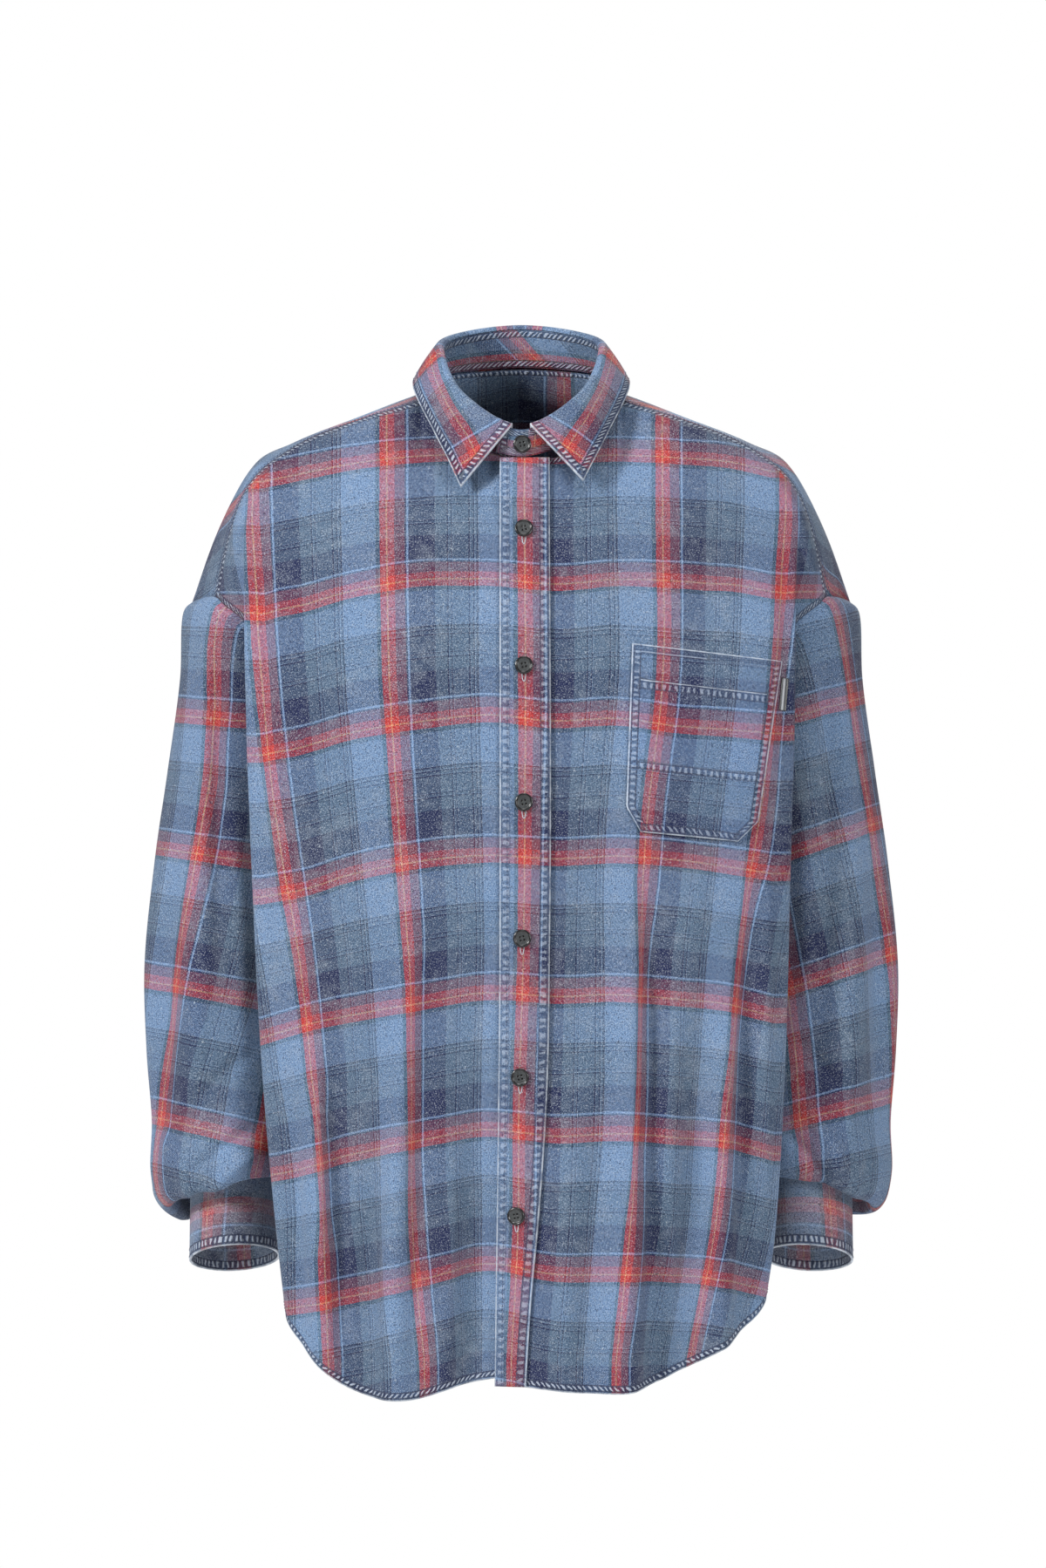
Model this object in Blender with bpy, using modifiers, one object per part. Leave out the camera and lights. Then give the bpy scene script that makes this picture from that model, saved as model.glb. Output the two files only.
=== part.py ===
"""An oversized checked shirt, worn open-hollow, fully buttoned, sleeves hanging.

Metres, +Z up, the front faces -Y and the wearer's left is +X. The origin is the middle of the
neck at the height of the side-neck points. Every sewn piece is a net of points worked out from
the sections below, given its wall by Solidify. Sizes in the tables are for the wearer's left;
the other side mirrors them, apart from the columns and folds that name a side.
"""
import bpy
import numpy as np
from mathutils import Matrix, Vector
from mathutils.bvhtree import BVHTree

# ---------------------------------------------------------------- driving sizes
WALL = 0.0014                # one ply of twill with its turned edges
BAND_WALL = 0.0017           # placket, stand and cuffs: two plies and interlining
LEAF_WALL = 0.0018           # collar leaf
SEAM_GAP = 0.0003            # between two sewn pieces
MITRE_SPARE = 0.00008        # added where two walls meet at an angle
MITRE_LIMIT = 5.0            # the sharpest angle a mitre follows, as its half angle's tangent
MITRE_SHARE = 0.6            # the least part of a pull that counts as square to its seam
LAY_GAP = 0.0003             # between a panel and what lies on it
PLACKET_GAP = 0.0010
POCKET_GAP = 0.0007          # under the pocket, whose turned edges hold it off the front

BUTTON_RADIUS = 0.0072
BUTTON_HEIGHT = 0.0026
BUTTON_SIDES = 16
HOLE_RADIUS = 0.0009
HOLE_SPREAD = 0.0017         # hole centre to button centre, along each axis
BUTTON_LIFT = 0.0006         # thread under a button

SEAM_TURN = 0.0046           # the left front runs this far under the placket's sewn edge
UNDERLAP_GAP = 0.0020        # between the two fronts' edges under the placket

ROLL_DEPTH = 0.060           # a side drape this deep or deeper rolls fully round
BROW_BULGE = (0.000, -0.0080, 0.0)        # roundness before the ridge: across, back, up
TURN_BULGE = (0.0040, -0.0010, 0.0)       # roundness behind the ridge
TUCK_DIP = (-0.0120, -0.0030, 0.0)        # how the return dips in beside the sleeve
FLANK_DIP = (-0.0130, 0.0010, 0.0)
FALL_DROP = 0.030            # how far down a panel its first stretch below the seam reaches
NECK_FALL = (0.0, -0.0050, -0.0140)       # that stretch below the neckline
FRONT_FALL = (0.0, -0.0150, -0.0110)      # below the front yoke seam
BACK_FALL = (0.0, 0.0030, -0.0150)        # below the back yoke seam
ROLL_RADIUS = 0.0030         # the leaf's roll over the stand

# ---------------------------------------------------------------- tables
# Neck ring from centre front (turn 0) to centre back (turn 1). Base is the neckline seam,
# top is the stand's top edge, leaf is the leaf's outer edge.
NECK = (
    # turn, base x, y, z,             top x, y, z,               leaf x, y, z
    (0.00, 0.0000, -0.0800, -0.0560, 0.0000, -0.0790, -0.0330, 0.0490, -0.0950, -0.0740),
    (0.25, 0.0520, -0.0600, -0.0370, 0.0430, -0.0590, -0.0080, 0.0680, -0.0690, -0.0360),
    (0.50, 0.0800, -0.0250, -0.0070, 0.0610, -0.0220, 0.0250, 0.0860, -0.0200, 0.0040),
    (0.75, 0.0660, 0.0300, 0.0140, 0.0550, 0.0230, 0.0440, 0.0740, 0.0450, 0.0130),
    (1.00, 0.0000, 0.0580, 0.0220, 0.0000, 0.0490, 0.0540, 0.0000, 0.0790, 0.0080),
)
BASE_COLUMN = 1
TOP_COLUMN = 4
LEAF_COLUMN = 7
SIDE_NECK_TURN = 0.50        # where the front yoke seam meets the neckline

# Shoulder from the centre back (reach -1) past the side neck (reach 0) to the armhole (reach 1):
# the front yoke seam, the crest of the yoke, and the back yoke seam. Behind the neck the
# neckline takes the front seam's place.
SHOULDER = (
    # reach, front x, y, z,           crest x, y, z,              back x, y, z
    (-1.00, 0.0000, 0.0580, 0.0220, 0.0000, 0.0750, -0.0060, 0.0000, 0.1095, -0.0840),
    (-0.50, 0.0660, 0.0300, 0.0140, 0.0540, 0.0590, -0.0030, 0.0225, 0.1093, -0.0843),
    (0.00, 0.0800, -0.0250, -0.0070, 0.0880, 0.0230, -0.0030, 0.0480, 0.1085, -0.0850),
    (0.25, 0.1300, -0.0330, -0.0235, 0.1320, 0.0070, -0.0210, 0.1100, 0.1050, -0.0890),
    (0.50, 0.1800, -0.0370, -0.0445, 0.1820, 0.0050, -0.0405, 0.1680, 0.0970, -0.1010),
    (0.68, 0.2120, -0.0400, -0.0690, 0.2140, 0.0050, -0.0570, 0.2030, 0.0870, -0.1180),
    (0.78, 0.2235, -0.0430, -0.0880, 0.2300, 0.0050, -0.0790, 0.2180, 0.0820, -0.1300),
    (0.90, 0.2350, -0.0470, -0.1260, 0.2480, 0.0055, -0.1180, 0.2330, 0.0740, -0.1480),
    (1.00, 0.2425, -0.0500, -0.1650, 0.2640, 0.0060, -0.1680, 0.2430, 0.0640, -0.1690),
)
# Fullness of the yoke over the shoulder blade, at these reaches.
YOKE_FULLNESS = (
    # reach, out along x, y, z
    (-1.00, 0.000, 0.008, 0.012),
    (-0.50, 0.004, 0.014, 0.013),
    (0.00, 0.006, 0.024, 0.014),
    (0.25, 0.002, 0.024, 0.012),
    (0.50, 0.000, 0.018, 0.009),
    (0.78, 0.003, 0.007, 0.005),
    (1.00, 0.004, 0.003, 0.004),
)
# Armhole ring, from the front yoke seam round the underarm and back over the crest.
ARMHOLE = (
    # round, x, y, z
    (0.00, 0.2425, -0.0500, -0.1650),
    (0.06, 0.2350, -0.0640, -0.1720),
    (0.13, 0.2180, -0.0700, -0.1860),
    (0.21, 0.1940, -0.0610, -0.2170),
    (0.30, 0.1690, -0.0360, -0.2640),
    (0.40, 0.1580, 0.0020, -0.3000),
    (0.50, 0.1690, 0.0420, -0.2640),
    (0.59, 0.1930, 0.0680, -0.2180),
    (0.68, 0.2180, 0.0770, -0.1890),
    (0.77, 0.2430, 0.0640, -0.1690),
    (0.89, 0.2640, 0.0060, -0.1680),
    (1.00, 0.2425, -0.0500, -0.1650),
)
UNDERARM = 0.40
BACK_YOKE_END = 0.77
CREST_PLACE = 0.89

# Sections of a front below the yoke seam. Drop 0 is the seam itself, drop 1 the hem. The ridge
# is where the front rolls back beside the sleeve.
FRONT = (
    # drop, centre y, z,     ridge x right, ridge x left, ridge y, z
    (0.10, -0.0960, -0.1000, 0.2190, 0.2180, -0.0640, -0.1200),
    (0.19, -0.1120, -0.1550, 0.2184, 0.2163, -0.0860, -0.1700),
    (0.28, -0.1250, -0.2200, 0.2175, 0.2163, -0.0960, -0.2280),
    (0.37, -0.1320, -0.2880, 0.2160, 0.2152, -0.0990, -0.2920),
    (0.46, -0.1350, -0.3560, 0.2135, 0.2130, -0.0990, -0.3560),
    (0.60, -0.1370, -0.4640, 0.2090, 0.2105, -0.0970, -0.4600),
    (0.76, -0.1370, -0.5900, 0.2015, 0.2062, -0.0940, -0.5780),
    (0.89, -0.1360, -0.6950, 0.1930, 0.2000, -0.0900, -0.6700),
    (1.00, -0.1340, -0.7800, 0.1860, 0.1935, -0.0860, -0.7380),
)
# Sections of the back below its yoke seam.
BACK = (
    # drop, centre y, z,    ridge x, y, z
    (0.10, 0.1180, -0.1360, 0.2150, 0.0910, -0.1680),
    (0.19, 0.1230, -0.1850, 0.2130, 0.0960, -0.2050),
    (0.28, 0.1240, -0.2420, 0.2110, 0.0980, -0.2480),
    (0.37, 0.1240, -0.3030, 0.2080, 0.0980, -0.3020),
    (0.46, 0.1230, -0.3650, 0.2050, 0.0970, -0.3600),
    (0.60, 0.1210, -0.4680, 0.2020, 0.0950, -0.4620),
    (0.76, 0.1190, -0.5930, 0.1990, 0.0920, -0.5800),
    (0.89, 0.1180, -0.6980, 0.1950, 0.0890, -0.6740),
    (1.00, 0.1170, -0.7950, 0.1890, 0.0860, -0.7480),
)
# Side seam from the underarm down.
SIDE = (
    # drop, x, y, z
    (0.46, 0.1580, 0.0020, -0.3000),
    (0.53, 0.1520, 0.0020, -0.3600),
    (0.60, 0.1500, 0.0020, -0.4150),
    (0.76, 0.1490, 0.0020, -0.5400),
    (0.89, 0.1490, 0.0020, -0.6300),
    (1.00, 0.1480, 0.0020, -0.6900),
)
# Height of the hem across a half, from the centre (across 0) to the side seam (across 1).
HEM = (
    # across, right front, left front, back
    (0.00, -0.7775, -0.7870, -0.8000),
    (0.20, -0.7870, -0.7915, -0.8000),
    (0.36, -0.7978, -0.7905, -0.7980),
    (0.50, -0.7950, -0.7740, -0.7900),
    (0.62, -0.7790, -0.7590, -0.7760),
    (0.72, -0.7560, -0.7400, -0.7600),
    (0.80, -0.7340, -0.7200, -0.7420),
    (0.90, -0.7100, -0.7030, -0.7120),
    (1.00, -0.6900, -0.6900, -0.6900),
)
# Edges of the placket down the front. Its lower end turns to the wearer's right.
PLACKET = (
    # z, free edge x, sewn edge x
    (-0.050, -0.0171, 0.0226),
    (-0.440, -0.0171, 0.0226),
    (-0.560, -0.0174, 0.0205),
    (-0.660, -0.0180, 0.0140),
    (-0.720, -0.0188, 0.0085),
    (-0.790, -0.0196, 0.0041),
)
# The largest standing folds: where each runs, how far it stands out (minus is a trough), its
# half width, and between which heights it grows to its full depth.
FRONT_FOLDS = (
    # x at top, x at hem, out, width, top z, full z
    (-0.175, -0.156, 0.0060, 0.014, -0.480, -0.660),
    (-0.130, -0.124, -0.0050, 0.016, -0.540, -0.720),
    (-0.100, -0.096, 0.0070, 0.018, -0.500, -0.700),
    (-0.040, -0.034, -0.0130, 0.026, -0.420, -0.700),
    (0.050, 0.044, 0.0100, 0.030, -0.440, -0.720),
    (0.118, 0.084, 0.0080, 0.016, -0.420, -0.680),
    (0.150, 0.112, -0.0070, 0.015, -0.440, -0.700),
    (0.178, 0.158, 0.0060, 0.013, -0.560, -0.700),
)
BACK_FOLDS = (
    (-0.120, -0.104, 0.0080, 0.020, -0.300, -0.600),
    (-0.060, -0.050, -0.0060, 0.020, -0.260, -0.560),
    (0.000, 0.006, 0.0060, 0.020, -0.360, -0.620),
    (0.070, 0.060, -0.0060, 0.020, -0.300, -0.580),
    (0.130, 0.116, 0.0080, 0.020, -0.340, -0.640),
)
# Rings of a sleeve below the armhole. Lean is the rise of the ring per metre outward, pitch its
# rise per metre backward, so a minus lean droops on the outer side.
SLEEVE = (
    # along, x, y, z,              half width, half depth, lean, pitch
    (0.10, 0.2222, 0.0050, -0.2680, 0.0513, 0.0660, 0.78, 0.00),
    (0.20, 0.2265, 0.0050, -0.3280, 0.0570, 0.0680, 0.45, 0.00),
    (0.32, 0.2315, 0.0040, -0.3900, 0.0625, 0.0700, 0.22, 0.00),
    (0.45, 0.2350, 0.0020, -0.4600, 0.0645, 0.0710, 0.08, 0.00),
    (0.57, 0.2340, 0.0000, -0.5280, 0.0620, 0.0710, 0.00, -0.04),
    (0.67, 0.2330, -0.0010, -0.5800, 0.0600, 0.0700, -0.06, -0.08),
    (0.76, 0.2350, -0.0020, -0.6160, 0.0610, 0.0720, -0.14, -0.12),
    (0.84, 0.2350, -0.0030, -0.6380, 0.0560, 0.0630, -0.20, -0.18),
    (0.90, 0.2320, -0.0040, -0.6430, 0.0495, 0.0570, -0.22, -0.24),
    (0.95, 0.2300, -0.0040, -0.6315, 0.0440, 0.0515, -0.12, -0.28),
    (1.00, 0.2300, -0.0040, -0.6240, 0.0345, 0.0425, -0.06, -0.30),
)
# The largest folds of a sleeve: angle round it from the outer side (front is minus), how far
# it stands out, its half width in radians, where along it starts and ends, its slant.
SLEEVE_FOLDS = (
    # angle, out, width, start, end, slant
    (-1.15, 0.0050, 0.26, 0.20, 0.80, 0.35),
    (-0.62, -0.0050, 0.24, 0.24, 0.78, 0.30),
    (-0.15, 0.0045, 0.24, 0.30, 0.84, 0.20),
    (0.70, -0.0050, 0.26, 0.22, 0.80, -0.30),
    (1.30, 0.0050, 0.26, 0.26, 0.84, -0.30),
    (2.20, -0.0030, 0.30, 0.36, 0.80, 0.10),
)
CREST_FACING = (0.72, 0.00, -0.69)        # the way a sleeve leaves its armhole on top
UNDERARM_FACING = (0.95, 0.00, -0.30)     # and under the arm
SLEEVE_START = 0.009         # how far it goes that way before it turns down
SLEEVE_START_ALONG = 0.030
CUFF_HEIGHT = 0.070
CUFF_FLARE = 0.0010          # the lower edge is this much wider than the upper

# Pocket corners on the front: across and height.
POCKET_TOP_IN = (0.0871, -0.2032)
POCKET_TOP_OUT = (0.2044, -0.2169)
POCKET_SIDE_IN = (0.0823, -0.3314)
POCKET_SIDE_OUT = (0.1859, -0.3431)
POCKET_LOW_IN = (0.0933, -0.3513)
POCKET_LOW_OUT = (0.1701, -0.3589)

TAB_CENTRE = (0.2065, -0.2430)
TAB_WIDTH = 0.0064
TAB_HEIGHT = 0.0262
TAB_THICKNESS = 0.0010
TAB_TILT = -0.15             # radians, leaning with the pocket's edge

# Buttons of the placket from the top down: across and height.
FRONT_BUTTONS = (
    (0.0021, -0.1123),
    (0.0021, -0.2205),
    (0.0021, -0.3280),
    (0.0007, -0.4348),
    (-0.0007, -0.5437),
    (-0.0034, -0.6526),
)
STAND_BUTTON_X = 0.0007

# ---------------------------------------------------------------- net resolution
NECK_STEPS = 5               # columns from centre front to the side neck
BACK_NECK_STEPS = 6          # columns from centre back to the side neck
REACH_STOPS = (0.0, 0.13, 0.27, 0.41, 0.54, 0.66, 0.74, 0.80, 0.86, 0.93, 1.0)
FRONT_STOPS = 9              # armhole rows of a front, also of the back
LOWER_ROWS = 13              # rows from the underarm to the hem
YOKE_ROWS = 7
SLEEVE_STOPS = (0.0, 0.03, 0.07, 0.11, 0.16, 0.23, 0.31, 0.39, 0.47, 0.54, 0.61, 0.67, 0.72,
                0.77, 0.81, 0.85, 0.88, 0.905, 0.93, 0.96, 1.0)
CUFF_ROWS = 3
PLACKET_COLUMNS = 4
FLIP = np.array([-1.0, 1.0, 1.0])         # to the other side of the middle
BODY_MIDDLE = np.array([0.0, 0.0, -0.35])
UP = np.array([0.0, 0.0, 1.0])

NECK_ACROSS = 0.26           # share of a front's width taken by the neckline
NECK_FADE = (0.15, 0.45)     # where the fall below the neckline turns into that below a seam
RIDGE_ACROSS = 0.80          # share of a panel's width inside the ridge

STAND_ROWS = 3
ROLL_ROWS = 4
LEAF_ROWS = 4
POCKET_ROWS = 8
POCKET_COLUMNS = 10
POCKET_CHAMFER = 0.875       # share of the pocket's height above its lower corners

STAND_LAP = (0.03, 0.06, 0.09)            # turns of the lapping ends beyond centre front
STAND_UNDERLAP = 0.8
STAND_SEAM_LIFT = 0.0020
STAND_SHIFT_FROM = 0.036     # the lapping end steps out between these distances from
STAND_SHIFT_FULL = 0.020     # the middle
STAND_BUTTON_Z = -0.0445
LEAF_LIFT = 0.0014
LEAF_FIRST_TURN = 0.040      # the leaf starts this far round from centre front
LEAF_BELLY = 0.0015
ROLL_TURN = 2.5              # radians that the leaf turns over its roll
TAB_LIFT = 0.0002
CUFF_BUTTON_ANGLE = 1.35     # on the back of the cuff, away from view
CUFF_BUTTON_CLEAR = 0.0004

INDIGO = (0.13, 0.20, 0.36, 1.0)
BLACK = (0.012, 0.012, 0.013, 1.0)
STEEL = (0.55, 0.55, 0.56, 1.0)


# ---------------------------------------------------------------- helpers
def smooth(knots, values, at):
    """Cubic curve through the values at the knots, read at the given places."""
    knots = np.asarray(knots, float)
    values = np.asarray(values, float)
    slopes = np.gradient(values, knots, axis=0)
    at = np.clip(np.atleast_1d(np.asarray(at, float)), knots[0], knots[-1])
    low = np.clip(np.searchsorted(knots, at, side="right") - 1, 0, len(knots) - 2)
    span = knots[low + 1] - knots[low]
    shape = (len(at),) + (1,) * (values.ndim - 1)
    u = ((at - knots[low]) / span).reshape(shape)
    span = span.reshape(shape)
    rise = values[low] * (2 * u**3 - 3 * u**2 + 1) + values[low + 1] * (3 * u**2 - 2 * u**3)
    bend = slopes[low] * (u**3 - 2 * u**2 + u) + slopes[low + 1] * (u**3 - u**2)
    return rise + span * bend


def ramp(value, start, full):
    """0 before start, 1 past full, eased between."""
    share = np.clip((value - start) / (full - start), 0.0, 1.0)
    return share * share * (3.0 - 2.0 * share)


def columns(table, first, last):
    """Columns first to last of a table as one array."""
    return np.array([row[first:last + 1] for row in table], float)


def net_normals(net):
    """Unit normals of a net of points, rows crossed with columns."""
    across = np.gradient(net, axis=1)
    down = np.gradient(net, axis=0)
    normal = np.cross(across, down)
    return normal / np.linalg.norm(normal, axis=2, keepdims=True)


def net_quads(rows, count, closed=False):
    """The quads of a net of this many rows and columns, joined round when closed."""
    number = np.arange(rows * count).reshape(rows, count)
    if closed:
        number = np.concatenate([number, number[:, :1]], axis=1)
    quads = np.stack([number[:-1, :-1], number[:-1, 1:], number[1:, 1:], number[1:, :-1]], axis=2)
    return quads.reshape(-1, 4).tolist()


def inward(net, edge):
    """Unit steps from one edge of a net to its next row or column."""
    steps = {
        "top": net[1] - net[0],
        "bottom": net[-2] - net[-1],
        "left": net[:, 1] - net[:, 0],
        "right": net[:, -2] - net[:, -1],
    }[edge]
    return steps / np.linalg.norm(steps, axis=1, keepdims=True)


def seam_tangent(seam, closed=False):
    """Unit steps along a seam's points."""
    if closed:
        steps = np.roll(seam, -1, axis=0) - np.roll(seam, 1, axis=0)
    else:
        steps = np.gradient(seam, axis=0)
    return steps / np.linalg.norm(steps, axis=1, keepdims=True)


def square_to(steps, tangent):
    """The parts of unit steps that run square to a seam: unit steps and how much is left."""
    part = steps - (steps * tangent).sum(axis=1, keepdims=True) * tangent
    size = np.linalg.norm(part, axis=1, keepdims=True)
    return part / size, size[:, 0]


def mitre(tangent, own, other, wall=WALL, gap=0.5 * SEAM_GAP):
    """How far an edge draws back so that two walls meeting at an angle leave a gap."""
    own, share = square_to(own, tangent)
    other, _ = square_to(other, tangent)
    straight = np.clip(-(own * other).sum(axis=1), -0.999, 1.0)
    bent = np.minimum(np.sqrt((1.0 - straight) / (1.0 + straight)), MITRE_LIMIT)
    spare = MITRE_SPARE * np.minimum(bent * 4.0, 1.0)
    return (gap + 0.5 * wall * bent + spare) / np.maximum(share, MITRE_SHARE)


def pull_in(net, top=0.0, bottom=0.0, left=0.0, right=0.0):
    """The net with its edges drawn in by these distances, to leave the seams' gaps."""
    drawn = net.copy()
    drawn[0] += inward(net, "top") * np.reshape(top, (-1, 1))
    drawn[-1] += inward(net, "bottom") * np.reshape(bottom, (-1, 1))
    drawn[:, 0] += inward(net, "left") * np.reshape(left, (-1, 1))
    drawn[:, -1] += inward(net, "right") * np.reshape(right, (-1, 1))
    return drawn


def mirrored(net):
    """The net on the wearer's right."""
    return (net * FLIP)[:, ::-1]


# ---------------------------------------------------------------- curves of the cut
def neck_curve(turn, first):
    """A ring of the neck table at these turns; first is its x column."""
    turns = columns(NECK, 0, 0)[:, 0]
    ring = columns(NECK, first, first + 2)
    if first == LEAF_COLUMN:
        front = 2.0 * ring[:1] - ring[1:2]
    else:
        front = ring[1:2] * FLIP
    knots = np.concatenate([[-turns[1]], turns, [2.0 - turns[-2]]])
    return smooth(knots, np.concatenate([front, ring, ring[-2:-1] * FLIP]), turn)


def shoulder_curve(reach, first):
    """A line of the shoulder table at these reaches; first is its x column."""
    return smooth(columns(SHOULDER, 0, 0)[:, 0], columns(SHOULDER, first, first + 2), reach)


def armhole(place):
    """The armhole ring at these places round it, closed smoothly at its start."""
    ring = columns(ARMHOLE, 1, 3)
    knots = columns(ARMHOLE, 0, 0)[:, 0]
    knots = np.concatenate([knots[-3:-1] - 1.0, knots, knots[1:3] + 1.0])
    ring = np.concatenate([ring[-3:-1], ring, ring[1:3]])
    return smooth(knots, ring, place)


FRONT_HOLE_STOPS = np.linspace(0.0, UNDERARM, FRONT_STOPS)
BACK_HOLE_STOPS = np.linspace(BACK_YOKE_END, UNDERARM, FRONT_STOPS)
YOKE_HOLE_STOPS = np.linspace(1.0, BACK_YOKE_END, YOKE_ROWS)
LOWER_DROPS = np.linspace(SIDE[0][0], 1.0, LOWER_ROWS + 1)[1:]


def side_seam():
    """The side seam below the underarm."""
    return smooth(columns(SIDE, 0, 0)[:, 0], columns(SIDE, 1, 3), LOWER_DROPS)


def panel_columns(neck_steps):
    """Places across a half panel: the neckline's columns, then those of the shoulder."""
    neck = np.linspace(0.0, NECK_ACROSS, neck_steps + 1)
    return np.concatenate([neck, NECK_ACROSS + (1.0 - NECK_ACROSS) * np.array(REACH_STOPS[1:])])


def panel_drops():
    """Places down a panel: the armhole's rows, then those of the side seam."""
    return np.concatenate([np.linspace(0.0, SIDE[0][0], FRONT_STOPS), LOWER_DROPS])


# ---------------------------------------------------------------- body panels
def section_points(centre, ridge, edge, across):
    """One section from the centre to the edge, rolled round its ridge, at these places."""
    centre, ridge, edge = (np.asarray(point, float) for point in (centre, ridge, edge))
    toward = -np.sign(centre[1])
    roll = float(np.clip((edge[1] - ridge[1]) * toward / ROLL_DEPTH, 0.0, 1.0))
    side = np.array([1.0, toward, 1.0])
    breast = centre + (ridge - centre) * np.array([0.55, 0.17, 0.50])
    brow = ridge + (breast - ridge) * 0.20 + roll * np.array(BROW_BULGE) * side
    turn = ridge + (edge - ridge) * 0.16 + roll * np.array(TURN_BULGE) * side
    tuck = ridge + (edge - ridge) * 0.52 + roll * np.array(TUCK_DIP) * side
    flank = ridge + (edge - ridge) * 0.78 + roll * np.array(FLANK_DIP) * side
    beyond = centre + (centre - breast) * np.array([1.0, -1.0, -1.0])
    knots = (-0.42, 0.0, 0.42, 0.70, RIDGE_ACROSS, 0.85, 0.91, 0.955, 1.0)
    points = np.array([beyond, centre, breast, brow, ridge, turn, tuck, flank, edge])
    return smooth(knots, points, across)


def panel_net(top, fall, sections, edge, drops, across, hem):
    """A half panel: its top curve, its sections and its hem, joined down each column."""
    seam_share = ramp(across, *NECK_FADE)[:, None]
    start = top + np.array(NECK_FALL) * (1.0 - seam_share) + np.array(fall) * seam_share
    end = ramp(across, RIDGE_ACROSS, 1.0)[:, None]
    start = start * (1.0 - end) + (top + smooth(drops, edge, [FALL_DROP])[0] - edge[0]) * end
    knots = [0.0, FALL_DROP]
    curves = [top, start]
    edge_knots = smooth(drops, edge, [row[0] for row in sections])
    for row, edge_point in zip(sections, edge_knots):
        drop, centre, ridge = row
        curve = section_points(centre, ridge, edge_point, across)
        if drop == 1.0:
            curve[:, 2] = hem
        knots.append(drop)
        curves.append(curve)
    net = smooth(knots, np.array(curves), drops)
    miss = (edge - net[:, -1])[:, None, :]
    fade = ramp(across, RIDGE_ACROSS - 0.1, 1.0)[None, :, None]
    net = net + miss * fade
    net[0] = curves[0]
    return net


def add_folds(net, folds, forward):
    """The net with these folds pushed out along Y, forward being -1 or 1."""
    x, z = net[..., 0], net[..., 2]
    hem = HEM[0][3]
    out = np.zeros(x.shape)
    for x_top, x_hem, rise, width, z_top, z_full in folds:
        line = x_top + (x_hem - x_top) * np.clip((z_top - z) / (z_top - hem), 0.0, 1.0)
        out += rise * np.exp(-((x - line) / width) ** 2) * ramp(-z, -z_top, -z_full)
    facing = np.clip(1.8 * np.abs(net_normals(net)[..., 1]) - 0.5, 0.0, 1.0)
    folded = net.copy()
    folded[..., 1] += forward * out * facing
    return folded


def placket_edges(height):
    """The placket's free and sewn edges at these heights."""
    table = np.array(PLACKET)[::-1]
    return smooth(table[:, 0], table[:, 1:], np.clip(height, table[0, 0], table[-1, 0]))


def front_half(side):
    """A front for the wearer's left (side 1) or right (side -1), on the +X side, unfolded."""
    ridge_column = 3 if side < 0 else 4
    hem_column = 1 if side < 0 else 2
    sections = [(row[0], (0.0, row[1], row[2]), (row[ridge_column], row[5], row[6]))
                for row in FRONT]
    neck_turns = np.linspace(0.0, SIDE_NECK_TURN, NECK_STEPS + 1)
    seam = shoulder_curve(REACH_STOPS[1:], 1)
    top = np.concatenate([neck_curve(neck_turns, BASE_COLUMN), seam])
    across = panel_columns(NECK_STEPS)
    hem = smooth(columns(HEM, 0, 0)[:, 0], columns(HEM, hem_column, hem_column)[:, 0], across)
    edge = np.concatenate([armhole(FRONT_HOLE_STOPS), side_seam()])
    return panel_net(top, FRONT_FALL, sections, edge, panel_drops(), across, hem)


def move_start(net, side):
    """A front with its centre edge moved under the placket, following the placket's turn."""
    across = panel_columns(NECK_STEPS)
    sewn = placket_edges(net[:, 0, 2])[:, 1]
    start = side * (sewn - SEAM_TURN - (UNDERLAP_GAP if side < 0 else 0.0))
    moved = net.copy()
    moved[..., 0] += start[:, None] * (1.0 - ramp(across, 0.0, NECK_ACROSS))[None, :]
    return moved


def placket_net(front):
    """The placket: a front's centre line spread between its two edges, moved out onto it."""
    edges = placket_edges(front[:, 0, 2])
    shares = np.linspace(0.0, 1.0, PLACKET_COLUMNS + 1)
    strip = np.repeat(front[:, :1], PLACKET_COLUMNS + 1, axis=1)
    strip[..., 0] = edges[:, :1] + (edges[:, 1:] - edges[:, :1]) * shares
    return lay_on(add_folds(strip, FRONT_FOLDS, -1.0), BAND_WALL, PLACKET_GAP)


def lay_on(net, wall, gap=LAY_GAP):
    """A net moved out of its panel's middle by both half walls and the gap between them."""
    normal = net_normals(net)
    outward = np.sign((normal * (net - BODY_MIDDLE)).sum(axis=2, keepdims=True))
    return net + normal * outward * (0.5 * WALL + gap + 0.5 * wall)


def back_half():
    """Half of the back below its yoke seam, on the +X side, unfolded."""
    sections = [(row[0], (0.0, row[1], row[2]), (row[3], row[4], row[5])) for row in BACK]
    across = panel_columns(BACK_NECK_STEPS)
    edge = np.concatenate([armhole(BACK_HOLE_STOPS), side_seam()])
    hem = smooth(columns(HEM, 0, 0)[:, 0], columns(HEM, 3, 3)[:, 0], across)
    return panel_net(back_yoke_seam(), BACK_FALL, sections, edge, panel_drops(), across, hem)


def yoke_reaches():
    """Places along a half yoke: behind the neck, then along the shoulder."""
    return np.concatenate([np.linspace(-1.0, 0.0, BACK_NECK_STEPS + 1), REACH_STOPS[1:]])


def back_yoke_seam():
    """The back yoke seam of one half, from the centre back to the armhole."""
    return shoulder_curve(yoke_reaches(), 7)


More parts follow.
